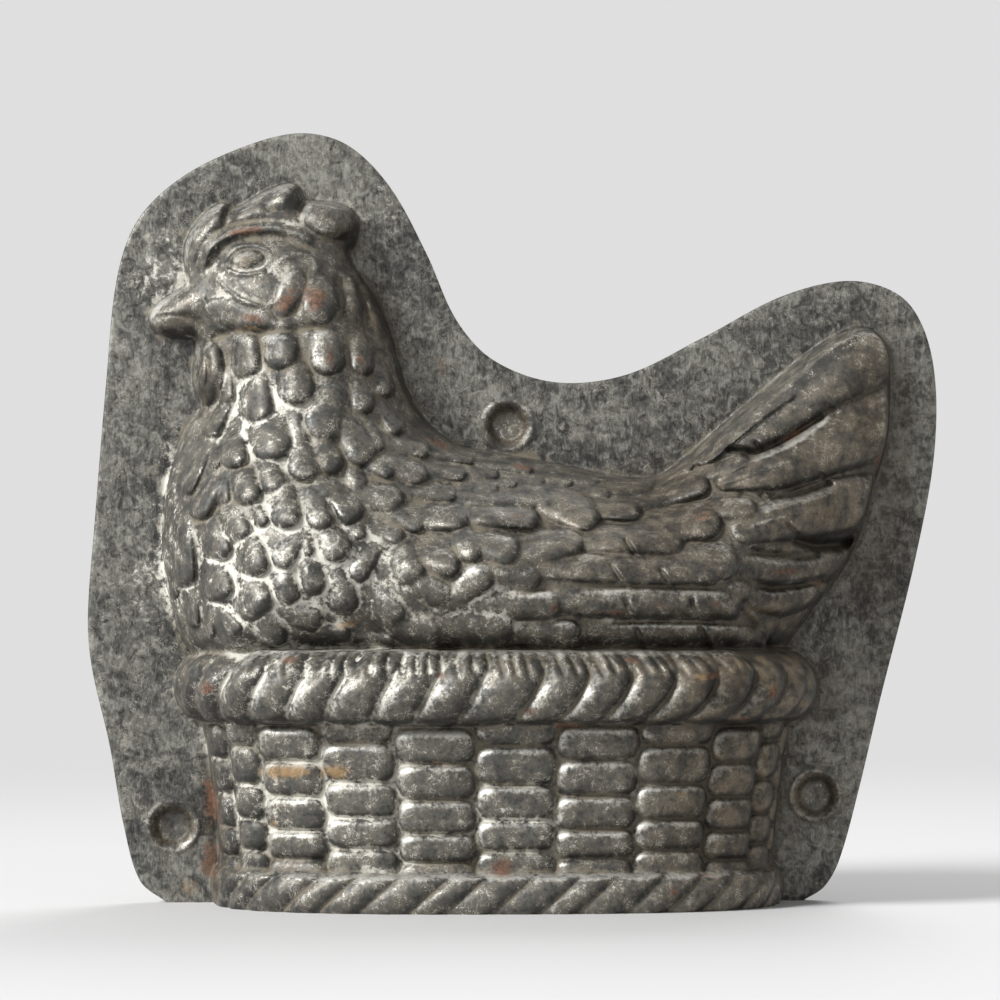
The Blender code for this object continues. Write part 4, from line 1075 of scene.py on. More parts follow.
@dataclass
class Flange:
    """The flat flange round the relief, with its cut outline and its three locating dimples.

    Attributes:
        corner_left: the left end of the foot.
        corner_right: the right end of the foot.
        outline: the cut edge, as (x, z), from the left corner over the hen to the right one.
        dimples: the dimples' middles.
        dimple_radius: the front half's, at the flange.
        dimple_floor: radius of its floor, which is dished.
        dimple_depth: how far the dimples are pressed.
        dimple_dish: how much deeper the floor gets towards its middle.
        dimple_clearance: how much wider the back half's are.
        dimple_lip: how far the metal is drawn up round a dimple.
        dimple_reach: how far from its middle a dimple can be felt.
    """

    corner_left: Point = (-58.5, 0.0)
    corner_right: Point = (49.0, 0.0)
    outline: tuple[Point, ...] = (
        (-63.0, 3.6), (-65.8, 13.0), (-68.2, 26.5), (-71.2, 39.5), (-71.9, 48.0), (-70.8, 64.0),
        (-68.9, 88.0), (-67.2, 105.0), (-63.9, 114.7), (-57.0, 121.8), (-47.0, 127.1), (-36.5, 129.9),
        (-28.4, 128.0), (-21.2, 121.0), (-14.9, 109.6), (-9.8, 98.3), (-3.5, 91.5), (7.0, 87.8),
        (19.0, 89.1), (32.0, 95.4), (46.0, 102.7), (58.0, 105.2), (66.8, 101.9), (71.2, 92.5),
        (71.7, 77.0), (68.2, 57.5), (62.2, 34.0), (58.6, 19.0), (55.2, 6.9), (52.6, 2.3),
    )
    dimples: tuple[Point, ...] = ((-57.5, 12.8), (51.2, 17.7), (-1.1, 80.4))
    dimple_radius: float = 3.6
    dimple_floor: float = 2.5
    dimple_depth: float = 1.5
    dimple_dish: float = 0.45
    dimple_clearance: float = 0.3
    dimple_lip: float = 0.34
    dimple_reach: float = 6.0

    def cut_line(self) -> Grid:
        """Return the cut outline, from the left foot corner round to the right one."""
        return smooth_line((self.corner_left, *self.outline, self.corner_right), closed=False, steps=14)

    def round_dimples(self, places: Field) -> Iterable[tuple[tuple[slice, slice], Grid]]:
        """Go round the dimples.

        Args:
            places: the grid.

        Returns:
            For each dimple, the part of the grid round it, and how far each place lies from its middle.
        """
        for middle in self.dimples:
            part = places.window(box_round([middle], self.dimple_reach))
            yield part, np.hypot(places.x[part] - middle[0], places.z[part] - middle[1])

    def dimple_cover(self, places: Field) -> Grid:
        """Mark the dimples.

        Args:
            places: the grid.

        Returns:
            1 on the dimples and 0 away from them.
        """
        cover = np.zeros(places.x.shape)
        for part, gap in self.round_dimples(places):
            cover[part] = np.maximum(cover[part], ease(self.dimple_radius + 1.5 - gap))
        return cover

    def dimple_ring_shade(self, places: Field) -> Grid:
        """Mark the corner round each dimple's floor, which is darkened as painted shade in the recess.

        Args:
            places: the grid.

        Returns:
            1 in the corners and 0 away from them.
        """
        ring_shade = np.zeros(places.x.shape)
        for part, gap in self.round_dimples(places):
            ring_shade[part] += np.exp(-(((gap - self.dimple_floor - 0.35) / 0.5) ** 2))
        return ring_shade

    def dimpling(self, places: Field, half: Half) -> Grid:
        """Work out the dimples' own shape.

        Args:
            places: the grid.
            half: which half they are pressed in.

        Returns:
            How far they move the sheet outwards at each place.
        """
        extra = 0.0 if half is Half.FRONT else self.dimple_clearance
        radii = [0.0, 0.35, 0.6, self.dimple_floor + extra, self.dimple_radius + extra]
        floor = self.dimple_depth - self.dimple_dish
        depths = [self.dimple_depth, self.dimple_depth, self.dimple_depth - 0.25, floor, 0.0]
        moved = np.zeros(places.x.shape)
        for part, gap in self.round_dimples(places):
            moved[part] += half.side * np.interp(gap, radii, depths, right=0.0)
            moved[part] += self.dimple_lip * np.exp(-(((gap - self.dimple_radius - 0.65) / 0.4) ** 2))
        return blurred(moved, 1.2)


@dataclass
class Pressing:
    """The sheet's two faces as heights over the plane where the halves meet.

    Attributes:
        places: the grid that the heights are kept on.
        basket: the basket.
        hen: the hen.
        flange: the flange.
        sheet: the thickness of the metal.
        join: how round the crease between the hen and the basket is.
        fillet: how round the metal turns from the flange into the relief.
        stains: what has settled on the metal, and where; the dark dirt also paints shade, and the pale
            residue at the dimples a highlight.
        relief: how far the sheet stands out of the flange at each place.
        outer: the outer face's height.
        inner: the inner face's height.
    """

    places: Field = field(default_factory=Field)
    basket: Basket = field(default_factory=Basket)
    hen: Hen = field(default_factory=Hen)
    flange: Flange = field(default_factory=Flange)
    sheet: float = 0.9
    join: float = 0.8
    fillet: float = 1.8
    stains: dict[Residue, tuple[Swell, ...]] = field(
        default_factory=lambda: {
            kind: tuple(Swell(*row, crisp=False) for row in rows) for kind, rows in STAINS.items()
        }
    )
    relief: Grid = field(init=False)
    outer: Grid = field(init=False)
    inner: Grid = field(init=False)

    def __post_init__(self) -> None:
        """Work the heights out.

        Returns:
            Nothing.
        """
        together = soft_max(self.hen.heights(self.places), self.basket.heights(self.places), self.join)
        flat = np.zeros(together.shape)
        self.relief = blurred(soft_max(together, flat, self.fillet), 0.8)
        self.outer = self.relief + self.sheet
        self.inner = self.worn_thin()

    def worn_thin(self) -> Grid:
        """Take the thickness of the sheet, square to it, off the outer face.

        Returns:
            The inner face's height.
        """
        cells = int(self.sheet / self.places.step)
        inner = self.relief.copy()
        padded = np.pad(self.outer, cells, mode="edge")
        rows, columns = self.outer.shape
        for j in range(-cells, cells + 1):
            for i in range(-cells, cells + 1):
                room = self.sheet**2 - (i * i + j * j) * self.places.step**2
                if room < 0 or (i + j) % 2:
                    continue
                part = padded[cells + j : cells + j + rows, cells + i : cells + i + columns]
                np.minimum(inner, part - math.sqrt(room), out=inner)
        return inner

    def readings(self, skin: Grid, inside: bool) -> dict[str, Grid]:
        """Return what the finish needs to know of each place of a skin.

        Args:
            skin: the skin's heights.
            inside: whether it is the inner one, which turns its hollows and crests about.

        Returns:
            Named fields, from 0 to 1: crevice, crest, the lower right side of each small form, which gets
                painted shade, its upper left side, which gets a painted highlight, relief, inside and one for
                each residue.
        """
        step = self.places.step
        slope_z, slope_x = np.gradient(blurred(skin, 0.25 / step), step)
        square = np.sqrt(1.0 + slope_x**2 + slope_z**2)
        bend = np.gradient(slope_x / square, step, axis=1) + np.gradient(slope_z / square, step, axis=0)
        bend = blurred(-bend if inside else bend, 0.22 / step)
        calm_z, calm_x = np.gradient(blurred(skin, CALM / step), step)
        # Less where the broad form turns steeply away; it tempers the crests and the painted highlight
        facing_out = 1.0 / (1.0 + (calm_x**2 + calm_z**2) / 2.0)
        hollow = np.clip(bend / 0.9, 0.0, 1.5)
        crest = np.clip(-bend / 0.9, 0.0, 1.5)
        # The corner round each dimple's floor, darkened as painted shade
        ring_shade = self.flange.dimple_ring_shade(self.places)
        dimples = self.flange.dimple_cover(self.places)
        settled = 0.7 * hollow + 0.75 * blurred(hollow, 0.5 / step) - 0.25 * crest
        fields = {
            "crevice": np.clip(settled * (1.0 - dimples) + ring_shade, 0.0, 1.0),
            "crest": np.clip(crest, 0.0, 1.0) * facing_out,
            # Painted shade falls on the side of each small form that faces down and right, a painted
            # highlight on the side that faces up and left
            "lee": self.facing(skin, inside, 0.62, -0.78),
            "sun": self.facing(skin, inside, -0.75, 0.65) * facing_out,
            "relief": np.maximum(ease(self.relief / 2.0), dimples),
            "inside": np.full(skin.shape, 1.0 if inside else 0.0),
        }
        for kind, stains in self.stains.items():
            cover = ring_shade.copy() if kind is Residue.GRIME_AND_SHADE else np.zeros(skin.shape)
            for stain in stains:
                cover += stain.height(self.places.x, self.places.z)
            fields[kind.value] = np.clip(cover, 0.0, 1.0) * (0.35 if inside else 1.0)
        return fields

    def facing(self, skin: Grid, inside: bool, up: float, right: float) -> Grid:
        """Return how much each place falls away, on its own small form, to one side, as a mask for painted
        shade and painted highlight.

        Args:
            skin: the skin's heights.
            inside: whether it is the inner one.
            up: how much the side lies down, as the slope up that is meant.
            right: how much it lies left, as the slope to the right that is meant.

        Returns:
            The share, from 0 to 1.
        """
        step = self.places.step
        local = blurred(skin, 0.3 / step) - blurred(skin, CALM / step)
        slope_z, slope_x = np.gradient(-local if inside else local, step)
        return blurred(np.clip((up * slope_z + right * slope_x) / 1.1, 0.0, 1.0), 0.15 / step)


# Where each residue lies: middle x and z, half length, half height, tilt and strength
STAINS: dict[Residue, tuple[tuple[float, ...], ...]] = {
    Residue.RUST: (
        (-51.0, 17.0, 1.8, 5.0, 6.0, 0.9), (-51.4, 7.0, 2.2, 4.0, 0.0, 0.8),
        (30.6, 38.4, 1.8, 1.2, 0.0, 0.8), (41.0, 35.6, 1.3, 1.6, 0.0, 0.8),
        (36.4, 31.4, 2.2, 1.2, 0.0, 0.6), (32.4, 20.2, 1.4, 1.0, 0.0, 0.6),
        (30.0, 5.6, 3.2, 1.2, 0.0, 0.6), (24.6, 3.4, 1.4, 1.4, 0.0, 0.6), (-3.6, 7.4, 2.3, 2.2, 0.0, 1.0),
        (0.8, 32.8, 1.2, 0.9, 0.0, 0.9), (7.0, 30.4, 4.0, 0.7, 0.0, 0.8),
        (18.6, 28.6, 0.9, 1.8, 0.0, 0.6), (-51.5, 36.4, 1.6, 1.5, 0.0, 0.8),
        (-13.6, 38.6, 1.1, 0.8, 0.0, 0.7), (15.2, 48.7, 2.6, 0.6, 0.0, 0.9),
        (21.4, 50.0, 1.8, 0.5, 0.0, 0.6), (31.2, 50.2, 1.6, 0.7, 0.0, 0.7),
        (4.8, 49.4, 1.2, 0.8, 0.0, 0.9), (-0.5, 64.6, 1.8, 0.9, 0.0, 0.6),
        (29.4, 64.6, 2.4, 1.6, 0.0, 0.6), (1.0, 73.0, 2.4, 0.6, -12.0, 0.9),
        (-13.0, 77.0, 3.0, 0.8, -30.0, 0.9), (46.4, 78.6, 3.4, 0.6, 30.0, 1.0),
        (61.2, 74.6, 0.9, 3.6, -20.0, 0.7), (44.2, 55.6, 3.6, 0.9, 4.0, 0.9),
        (50.6, 53.8, 1.8, 1.4, 0.0, 0.6), (-33.8, 100.6, 2.3, 3.2, 0.0, 1.0),
        (-38.6, 100.2, 1.7, 3.4, -25.0, 0.9), (-44.4, 97.6, 4.0, 1.2, -20.0, 0.7),
        (-45.0, 112.6, 5.0, 0.8, 6.0, 0.9), (-31.4, 91.0, 1.4, 2.2, 0.0, 0.7),
        (-26.2, 90.6, 1.2, 2.2, 0.0, 0.7), (-38.0, 41.0, 1.8, 0.8, 10.0, 0.9),
        (-13.2, 57.6, 1.4, 0.7, -20.0, 0.7), (17.0, 41.0, 3.0, 0.7, -6.0, 0.7),
        (-12.4, 90.6, 1.6, 3.0, 20.0, 0.7),
    ),
    Residue.OCHRE: (
        (-38.4, 22.8, 5.6, 1.5, 0.0, 1.0), (-30.4, 22.8, 2.8, 1.5, -8.0, 1.0),
        (-14.0, 24.3, 1.4, 0.6, 0.0, 0.8), (-40.8, 14.2, 1.3, 0.7, 0.0, 0.8),
        (-55.0, 2.6, 3.4, 2.4, 10.0, 0.8), (-28.2, 46.8, 2.4, 1.0, 10.0, 0.9),
        (28.6, 38.2, 1.8, 1.0, 0.0, 0.7), (26.0, 19.4, 1.6, 0.9, 0.0, 0.6),
        (-45.0, 96.0, 3.4, 0.8, 0.0, 0.7),
    ),
    Residue.CREAM_AND_HIGHLIGHT: (
        (-44.0, 56.0, 17.0, 17.0, 0.0, 0.95), (-26.0, 54.0, 9.0, 14.0, 0.0, 0.6),
        # The three small stains at the dimples' middles paint each floor pale, as a painted highlight
        (-58.0, 66.0, 2.6, 20.0, 4.0, 0.75), (-57.5, 12.8, 1.9, 1.9, 0.0, 0.9),
        (51.2, 17.7, 1.9, 1.9, 0.0, 0.9), (-1.1, 80.4, 1.9, 1.9, 0.0, 0.9),
        (-42.0, 113.6, 11.0, 4.0, 8.0, 0.4), (-40.0, 82.0, 14.0, 12.0, 0.0, 0.75),
        (-46.0, 104.0, 9.0, 6.0, 0.0, 0.7), (-61.5, 106.0, 5.0, 9.0, -20.0, 0.9),
        (-21.0, 112.0, 4.5, 10.0, 20.0, 0.7), (-44.0, 123.0, 9.0, 2.6, 22.0, 0.6),
        (-63.0, 18.0, 4.5, 12.0, 8.0, 0.5), (-63.0, 50.0, 5.0, 16.0, 0.0, 0.4),
        (53.0, 9.0, 4.0, 12.0, 0.0, 0.5), (20.0, 79.0, 22.0, 5.0, 8.0, 0.3),
        (-36.0, 19.0, 18.0, 15.0, 0.0, 0.75), (-2.0, 17.0, 16.0, 14.0, 0.0, 0.5),
        (-16.0, 37.0, 12.0, 5.0, 0.0, 0.7), (-40.0, 37.0, 14.0, 6.0, 0.0, 0.6),
        (-10.0, 50.0, 14.0, 9.0, 0.0, 0.5), (16.0, 46.0, 22.0, 7.0, 0.0, 0.4),
        (47.0, 76.0, 12.0, 10.0, 30.0, 0.45),
    ),
    # Dark dirt and film, and painted shade: the right-hand side of the tail, wall, rim and head, and shadows
    # along the gaps under the tail's feathers
    Residue.GRIME_AND_SHADE: (
        (52.0, 62.0, 12.0, 14.0, 0.0, 0.9), (40.0, 36.0, 20.0, 9.0, 0.0, 1.0),
        (36.0, 17.0, 20.0, 20.0, 0.0, 0.9), (64.0, 50.0, 9.0, 40.0, -8.0, 0.5),
        (65.2, 80.0, 2.6, 15.0, 0.0, 1.0), (60.6, 60.0, 3.2, 10.0, -18.0, 0.9),
        (50.0, 60.4, 7.0, 1.6, 0.0, 0.9), (20.0, 54.0, 30.0, 20.0, 0.0, 0.3),
        (48.0, 80.0, 16.0, 16.0, 0.0, 0.3), (47.0, 79.0, 7.0, 0.9, 32.0, 0.9),
        (47.6, 68.8, 6.0, 0.9, 16.0, 0.9), (-51.0, 12.0, 1.8, 12.0, 4.0, 1.0),
        (-45.0, 107.5, 2.6, 1.4, 8.0, 0.8), (60.0, 84.0, 7.0, 14.0, 0.0, 0.7),
        (43.0, 22.0, 5.0, 24.0, 0.0, 0.7), (47.0, 34.0, 8.0, 7.0, 0.0, 0.8),
        (51.2, 17.7, 2.4, 2.4, 0.0, -1.0), (-20.0, 92.0, 3.0, 14.0, 18.0, 0.7),
        (40.0, 50.0, 10.0, 8.0, 0.0, 0.6), (30.0, 70.0, 14.0, 8.0, 10.0, 0.4),
        (18.0, 62.0, 18.0, 12.0, 0.0, 0.35), (-25.0, 100.0, 5.0, 10.0, 0.0, 0.8),
        (-28.0, 111.6, 3.6, 3.0, 0.0, 0.9), (-52.0, 86.0, 3.0, 7.0, 0.0, 0.5),
        (-57.0, 97.0, 5.0, 3.0, 0.0, 0.5),
    ),
}


# Meshes


@dataclass
class Skin:
    """One face of the sheet as points and faces, with its cut edge as a loop of points.

    Attributes:
        x: the points' x.
        z: the points' z.
        height: the points' height over the plane where the halves meet.
        faces: the faces, as point numbers.
        loop: the points round the cut edge, from the right foot corner along the foot and back over.
        outward: for each point of the loop, the direction out of the sheet, as (x, z).
    """

    x: Grid
    z: Grid
    height: Grid
    faces: list[tuple[int, ...]]
    loop: list[int]
    outward: Grid


@dataclass
class Skinner:
    """Cuts a skin into cells that are small where the metal bends and large where it is flat.

    Attributes:
        places: the grid that the heights are kept on.
        cut_line: the flange's outline.
        step: the smallest cell, measured over the basket's surface.
        tolerance: how far a cell may stray from the true surface.
        levels: how often a cell can double in size.
        edge_level: the largest doubling beside the cut edge.
        edge_band: how near to the cut edge that holds.
    """

    places: Field
    cut_line: Grid
    step: float
    tolerance: float
    levels: int = 3
    edge_level: int = 2
    edge_band: float = 2.4

    def axis(self, steep: Grid, marks: Grid, low: float, high: float) -> Grid:
        """Space lines across the mould, closer where the basket stands steep.

        Args:
            steep: how steep the basket is at each of the marks.
            marks: places along the axis.
            low: the first line.
            high: where the lines have to reach.

        Returns:
            The lines' places; one more than a whole number of the largest cells.
        """
        walked = np.concatenate([[0.0], np.cumsum(np.sqrt(1 + steep[:-1] ** 2) * np.diff(marks))])
        start, end = np.interp([low, high], marks, walked)
        largest = 2**self.levels
        count = math.ceil((end - start) / (self.step * largest)) * largest
        lines = np.interp(start + np.arange(count + 1) * self.step, walked, marks)
        lines[0] = low
        return lines

    def sort_cells(self, height: Grid, xs: Grid, zs: Grid) -> Grid:
        """Choose each cell's size.

        Args:
            height: the skin's height at each crossing of the lines.
            xs: the lines across.
            zs: the lines up.

        Returns:
            For each smallest cell, how often the cell it belongs to is doubled.
        """
        rows, columns = height.shape[0] - 1, height.shape[1] - 1
        stray = np.zeros((rows, columns))
        strays = []
        for level in range(1, self.levels + 1):
            size = 2**level
            half = size // 2
            corners = height[::size, ::size]
            across = np.abs(height[::size, half::size] - (corners[:, :-1] + corners[:, 1:]) / 2)
            up = np.abs(height[half::size, ::size] - (corners[:-1] + corners[1:]) / 2)
            middle = height[half::size, half::size]
            all_four = corners[:-1, :-1] + corners[1:, :-1] + corners[:-1, 1:] + corners[1:, 1:]
            centre = np.abs(middle - all_four / 4)
            slope_x = np.diff(corners, axis=1)[:-1] / np.diff(xs[::size])[None, :]
            slope_z = np.diff(corners, axis=0)[:, :-1] / np.diff(zs[::size])[:, None]
            square = np.sqrt(1 + slope_x**2 + slope_z**2)
            worst = np.maximum.reduce([across[:-1], across[1:], up[:, :-1], up[:, 1:], centre]) / square
            finer = stray.reshape(rows // size, size, columns // size, size).max(axis=(1, 3))
            stray = spread(np.maximum(worst, finer), size)
            strays.append(stray)
        result = np.full((rows, columns), self.levels)
        for level in range(self.levels, 0, -1):
            result[(result == level) & (strays[level - 1] > self.tolerance)] = level - 1
        return result

    def balance(self, doubled: Grid) -> Grid:
        """Split cells until no cell is more than twice as large as the one beside it.

        Args:
            doubled: for each smallest cell, how often the cell it belongs to is doubled.

        Returns:
            The same after the splits.
        """
        rows, columns = doubled.shape
        for _ in range(3):
            for target in range(1, self.levels):
                small = doubled < target
                near = small.copy()
                near[1:] |= small[:-1]
                near[:-1] |= small[1:]
                near[:, 1:] |= near[:, :-1].copy()
                near[:, :-1] |= near[:, 1:].copy()
                for level in range(self.levels, target, -1):
                    size = 2**level
                    touched = near.reshape(rows // size, size, columns // size, size).any(axis=(1, 3))
                    doubled[(doubled == level) & spread(touched, size)] = level - 1
        return doubled

    def make(self, skin: Grid, steep_x: Grid, steep_z: Grid) -> Skin:
        """Cut a skin.

        Args:
            skin: its heights on the field's grid.
            steep_x: how steep the basket is along X, for each column of the field.
            steep_z: how steep it is along Z, for each row of the field.

        Returns:
            The skin's mesh.
        """
        low, high = self.cut_line.min(axis=0), self.cut_line.max(axis=0)
        xs = self.axis(steep_x, self.places.xs, low[0] - 0.5, high[0] + 0.5)
        zs = self.axis(steep_z, self.places.zs, 0.0, high[1] + 0.5)
        x, z = np.meshgrid(xs, zs)
        height = self.places.sample(skin, x, z)
        doubled = self.sort_cells(height, xs, zs)
        size = 2**self.levels
        middles = slice(size // 2, None, size)
        _, _, gap = follow(x[middles, middles], z[middles, middles], self.cut_line)
        at_edge = spread(gap < self.edge_band, size)
        doubled[at_edge] = np.minimum(doubled[at_edge], self.edge_level)
        doubled = self.balance(doubled)
        cells = self.kept_cells(doubled, xs, zs)
        return self.mesh_of(cells, xs, zs, skin)

    def kept_cells(self, doubled: Grid, xs: Grid, zs: Grid) -> list[tuple[Grid, Grid, int]]:
        """Pick the cells inside the cut line.

        Args:
            doubled: for each smallest cell, how often the cell it belongs to is doubled.
            xs: the lines across.
            zs: the lines up.

        Returns:
            For each size of cell, the rows and columns of their lower left corners, and the size.
        """
        boundary = np.vstack([self.cut_line, self.cut_line[:1]])
        cells = []
        for level in range(self.levels + 1):
            size = 2**level
            rows, columns = np.nonzero(doubled[::size, ::size] == level)
            rows, columns = rows * size, columns * size
            middle_x = (xs[columns] + xs[columns + size]) / 2
            middle_z = (zs[rows] + zs[rows + size]) / 2
            keep = is_inside(middle_x, middle_z, boundary)
            cells.append((rows[keep], columns[keep], size))
        return cells

    def mesh_of(self, cells: list[tuple[Grid, Grid, int]], xs: Grid, zs: Grid, skin: Grid) -> Skin:
        """Join cells into a mesh and draw its border to the cut line.

        Args:
            cells: the kept cells, as rows, columns and a size for each size of cell.
            xs: the lines across.
            zs: the lines up.
            skin: the heights on the field's grid.

        Returns:
            The mesh.
        """
        wide = len(xs)
        used = np.zeros(len(zs) * wide, dtype=bool)
        for rows, columns, size in cells:
            for up, right in ((0, 0), (0, size), (size, 0), (size, size)):
                used[(rows + up) * wide + columns + right] = True
        corners = used.copy()
        faces: list[tuple[int, ...]] = []
        for rows, columns, size in cells:
            first = rows * wide + columns
            ring = [first, first + size, first + size * wide + size, first + size * wide]
            if size == 1:
                faces += list(zip(*(corner.tolist() for corner in ring)))
                continue
            half = size // 2
            mids = [first + half, first + half * wide + size, first + size * wide + half, first + half * wide]
            split = [corners[mid] for mid in mids]
            whole = ~np.logical_or.reduce(split)
            faces += list(zip(*(corner[whole].tolist() for corner in ring)))
            for n in np.nonzero(~whole)[0].tolist():
                around = []
                for corner, mid, there in zip(ring, mids, split):
                    around.append(int(corner[n]))
                    if there[n]:
                        around.append(int(mid[n]))
                centre = int(first[n]) + half * wide + half
                used[centre] = True
                faces += [(centre, a, b) for a, b in zip(around, around[1:] + around[:1])]
        numbers = np.full(len(used), -1)
        kept = np.nonzero(used)[0]
        numbers[kept] = np.arange(len(kept))
        numbers = numbers.tolist()
        faces = [tuple(numbers[corner] for corner in face) for face in faces]
        x, z = xs[kept % wide].copy(), zs[kept // wide].copy()
        loop = self.border(faces, x, z)
        outward = self.draw_to_cut(loop, x, z)
        return Skin(x, z, self.places.sample(skin, x, z), faces, loop, outward)

    def border(self, faces: list[tuple[int, ...]], x: Grid, z: Grid) -> list[int]:
        """Follow the mesh's border.

        Args:
            faces: the mesh's faces.
            x: its points' x.
            z: its points' z.

        Returns:
            The border's points, from the right foot corner along the foot and back over the top.
        """
        edges = set()
        for face in faces:
            for start, end in zip(face, face[1:] + face[:1]):
                if (end, start) in edges:
                    edges.remove((end, start))
                else:
                    edges.add((start, end))
        onward = {end: start for start, end in edges}
        on_foot = [start for start in onward if z[start] == 0.0]
        first = max(on_foot, key=lambda point: x[point])
        loop = [first]
        while onward[loop[-1]] != first:
            loop.append(onward[loop[-1]])
        return loop

    def draw_to_cut(self, loop: list[int], x: Grid, z: Grid) -> Grid:
        """Move the border's points onto the cut line.

        Args:
            loop: the border's points.
            x: the mesh's points' x, which is changed.
            z: their z, which is changed.

        Returns:
            The way out of the sheet at each point of the border.
        """
        outward = np.zeros((len(loop), 2))
        points = np.array(loop)
        on_foot = np.nonzero(z[points] == 0.0)[0]
        last = on_foot.max()
        x[points[0]], x[points[last]] = self.cut_line[-1][0], self.cut_line[0][0]
        outward[: last + 1] = (0.0, -1.0)
        rest = points[last + 1 :]
        starts, ends = self.cut_line[:-1], self.cut_line[1:]
        run = ends - starts
        from_start = np.stack([x[rest], z[rest]], axis=1)[:, None, :] - starts[None]
        share = np.clip((from_start * run).sum(axis=2) / (run * run).sum(axis=1), 0.0, 1.0)
        gap = np.linalg.norm(from_start - share[..., None] * run, axis=2)
        piece = gap.argmin(axis=1)
        share = share[np.arange(len(rest)), piece]
        x[rest], z[rest] = (starts[piece] + share[:, None] * run[piece]).T
        unit = run / np.linalg.norm(run, axis=1, keepdims=True)
        outward[last + 1 :] = np.stack([-unit[piece, 1], unit[piece, 0]], axis=1)
        return outward


@dataclass
class SheetMesh:
    """Closes two skins into one solid sheet with an eased cut edge.

    Attributes:
        half: which half it is.
        gap: the gap between the halves.
        ease_by: how far the cut edge's corners are eased.
        points: the points so far, in metres.
        faces: the faces so far, as point numbers.
        readings: what the finish needs at each point.
    """

    half: Half
    gap: float = 0.3
    ease_by: float = 0.13
    points: list[Grid] = field(default_factory=list)
    faces: list[tuple[int, ...]] = field(default_factory=list)
    readings: dict[str, list[Grid]] = field(default_factory=dict)

    def count(self) -> int:
        """Return how many points there are so far."""
        return sum(len(points) for points in self.points)

    def take(self, x: Grid, z: Grid, height: Grid, readings: dict[str, Grid]) -> int:
        """Add points.

        Args:
            x: their x.
            z: their z.
            height: their height over the plane where the halves meet.
            readings: what the finish needs at each of them.

        Returns:
            The number of the first.
        """
        first = self.count()
        y = self.half.side * (self.gap / 2 + height)
        self.points.append(np.stack([x, y, z], axis=1) * MM)
        for name, values in readings.items():
            self.readings.setdefault(name, []).append(values)
        return first

    def add_skin(self, skin: Skin, readings: dict[str, Grid], outer: bool) -> list[int]:
        """Add a skin and the eased strip along its border.

        Args:
            skin: the skin.
            readings: what the finish needs at each of its points.
            outer: whether it is the outer one.

        Returns:
            The strip's far points, in the order of the skin's loop.
        """
        loop = np.array(skin.loop)
        edge_x, edge_z, edge_height = skin.x[loop].copy(), skin.z[loop].copy(), skin.height[loop].copy()
        inward = self.into_sheet(skin, loop, outer)
        skin.x[loop] -= skin.outward[:, 0] * self.ease_by
        skin.z[loop] -= skin.outward[:, 1] * self.ease_by
        first = self.take(skin.x, skin.z, skin.height, readings)
        flip = (self.half is Half.FRONT) != outer
        for face in skin.faces:
            numbers = tuple(corner + first for corner in face)
            self.faces.append(numbers[::-1] if flip else numbers)
        strip = self.take(
            edge_x + inward[:, 0] * self.ease_by,
            edge_z,
            edge_height + inward[:, 1] * self.ease_by,
            {name: values[loop] for name, values in readings.items()},
        )
        count = len(loop)
        for i in range(count):
            j = (i + 1) % count
            face = (first + skin.loop[i], first + skin.loop[j], strip + j, strip + i)
            self.faces.append(face[::-1] if flip else face)
        return [strip + i for i in range(count)]

    def into_sheet(self, skin: Skin, loop: Grid, outer: bool) -> Grid:
        """Find the way into the metal along the cut.

        Args:
            skin: the skin.
            loop: its border's points.
            outer: whether it is the outer one.

        Returns:
            For each border point, the way as (x, height).
        """
        sign = -1.0 if outer else 1.0
        inward = np.tile([0.0, sign], (len(loop), 1))
        foot = np.nonzero(skin.outward[:, 1] == -1.0)[0]
        run = np.gradient(skin.x[loop[foot]])
        climb = np.gradient(skin.height[loop[foot]])
        length = np.hypot(run, climb)
        length[length == 0] = 1.0
        inward[foot] = np.stack([-climb * sign / length, run * sign / length], axis=1)
        inward[foot] *= np.where(inward[foot, 1] * sign < 0, -1.0, 1.0)[:, None]
        return inward

    def zip_edges(self, one: list[int], other: list[int]) -> None:
        """Join two closed strips of points with triangles.

        Args:
            one: the points of one strip.
            other: those of the other, which starts at the same corner.

        Returns:
            Nothing.
        """
        points = np.concatenate(self.points)
        i = j = 0
        first, second = one + one[:1], other + other[:1]
        a, b = points[first], points[second]
        while i < len(one) or j < len(other):
            step_one = i < len(one)
            if step_one and j < len(other):
                step_one = ((a[i + 1] - b[j]) ** 2).sum() <= ((b[j + 1] - a[i]) ** 2).sum()
            if step_one:
                face = (first[i], first[i + 1], second[j])
                i += 1
            else:
                face = (first[i], second[j + 1], second[j])
                j += 1
            self.faces.append(face[::-1] if self.half is Half.FRONT else face)

    def finish(self, name: str) -> bpy.types.Object:
        """Make the mesh object.

        Args:
            name: the object's name.

        Returns:
            The object, linked to the scene, with its readings as attributes.
        """
        mesh = bpy.data.meshes.new(name)
        mesh.from_pydata(np.concatenate(self.points), [], self.faces)
        for reading, values in self.readings.items():
            made = mesh.attributes.new(reading, "FLOAT", "POINT")
            made.data.foreach_set("value", np.concatenate(values).astype(np.float32))
        mesh.shade_smooth()
        mesh.update()
        made = bpy.data.objects.new(name, mesh)
        bpy.context.scene.collection.objects.link(made)
        return made


# Finishes


def seen_by_eye(tree: bpy.types.NodeTree) -> bpy.types.NodeSocket:
    """Return a socket that is 1 for what the camera sees, itself or mirrored in metal or through glass.

    Args:
        tree: the nodes that the socket is for.

    Returns:
        The socket.
    """
    path = tree.nodes.new("ShaderNodeLightPath")
    seen = path.outputs["Is Camera Ray"]
    for kind in ("Is Glossy Ray", "Is Transmission Ray"):
        either = tree.nodes.new("ShaderNodeMath")
        either.operation = "MAXIMUM"
        tree.links.new(seen, either.inputs[0])
        tree.links.new(path.outputs[kind], either.inputs[1])
        seen = either.outputs[0]
    return seen


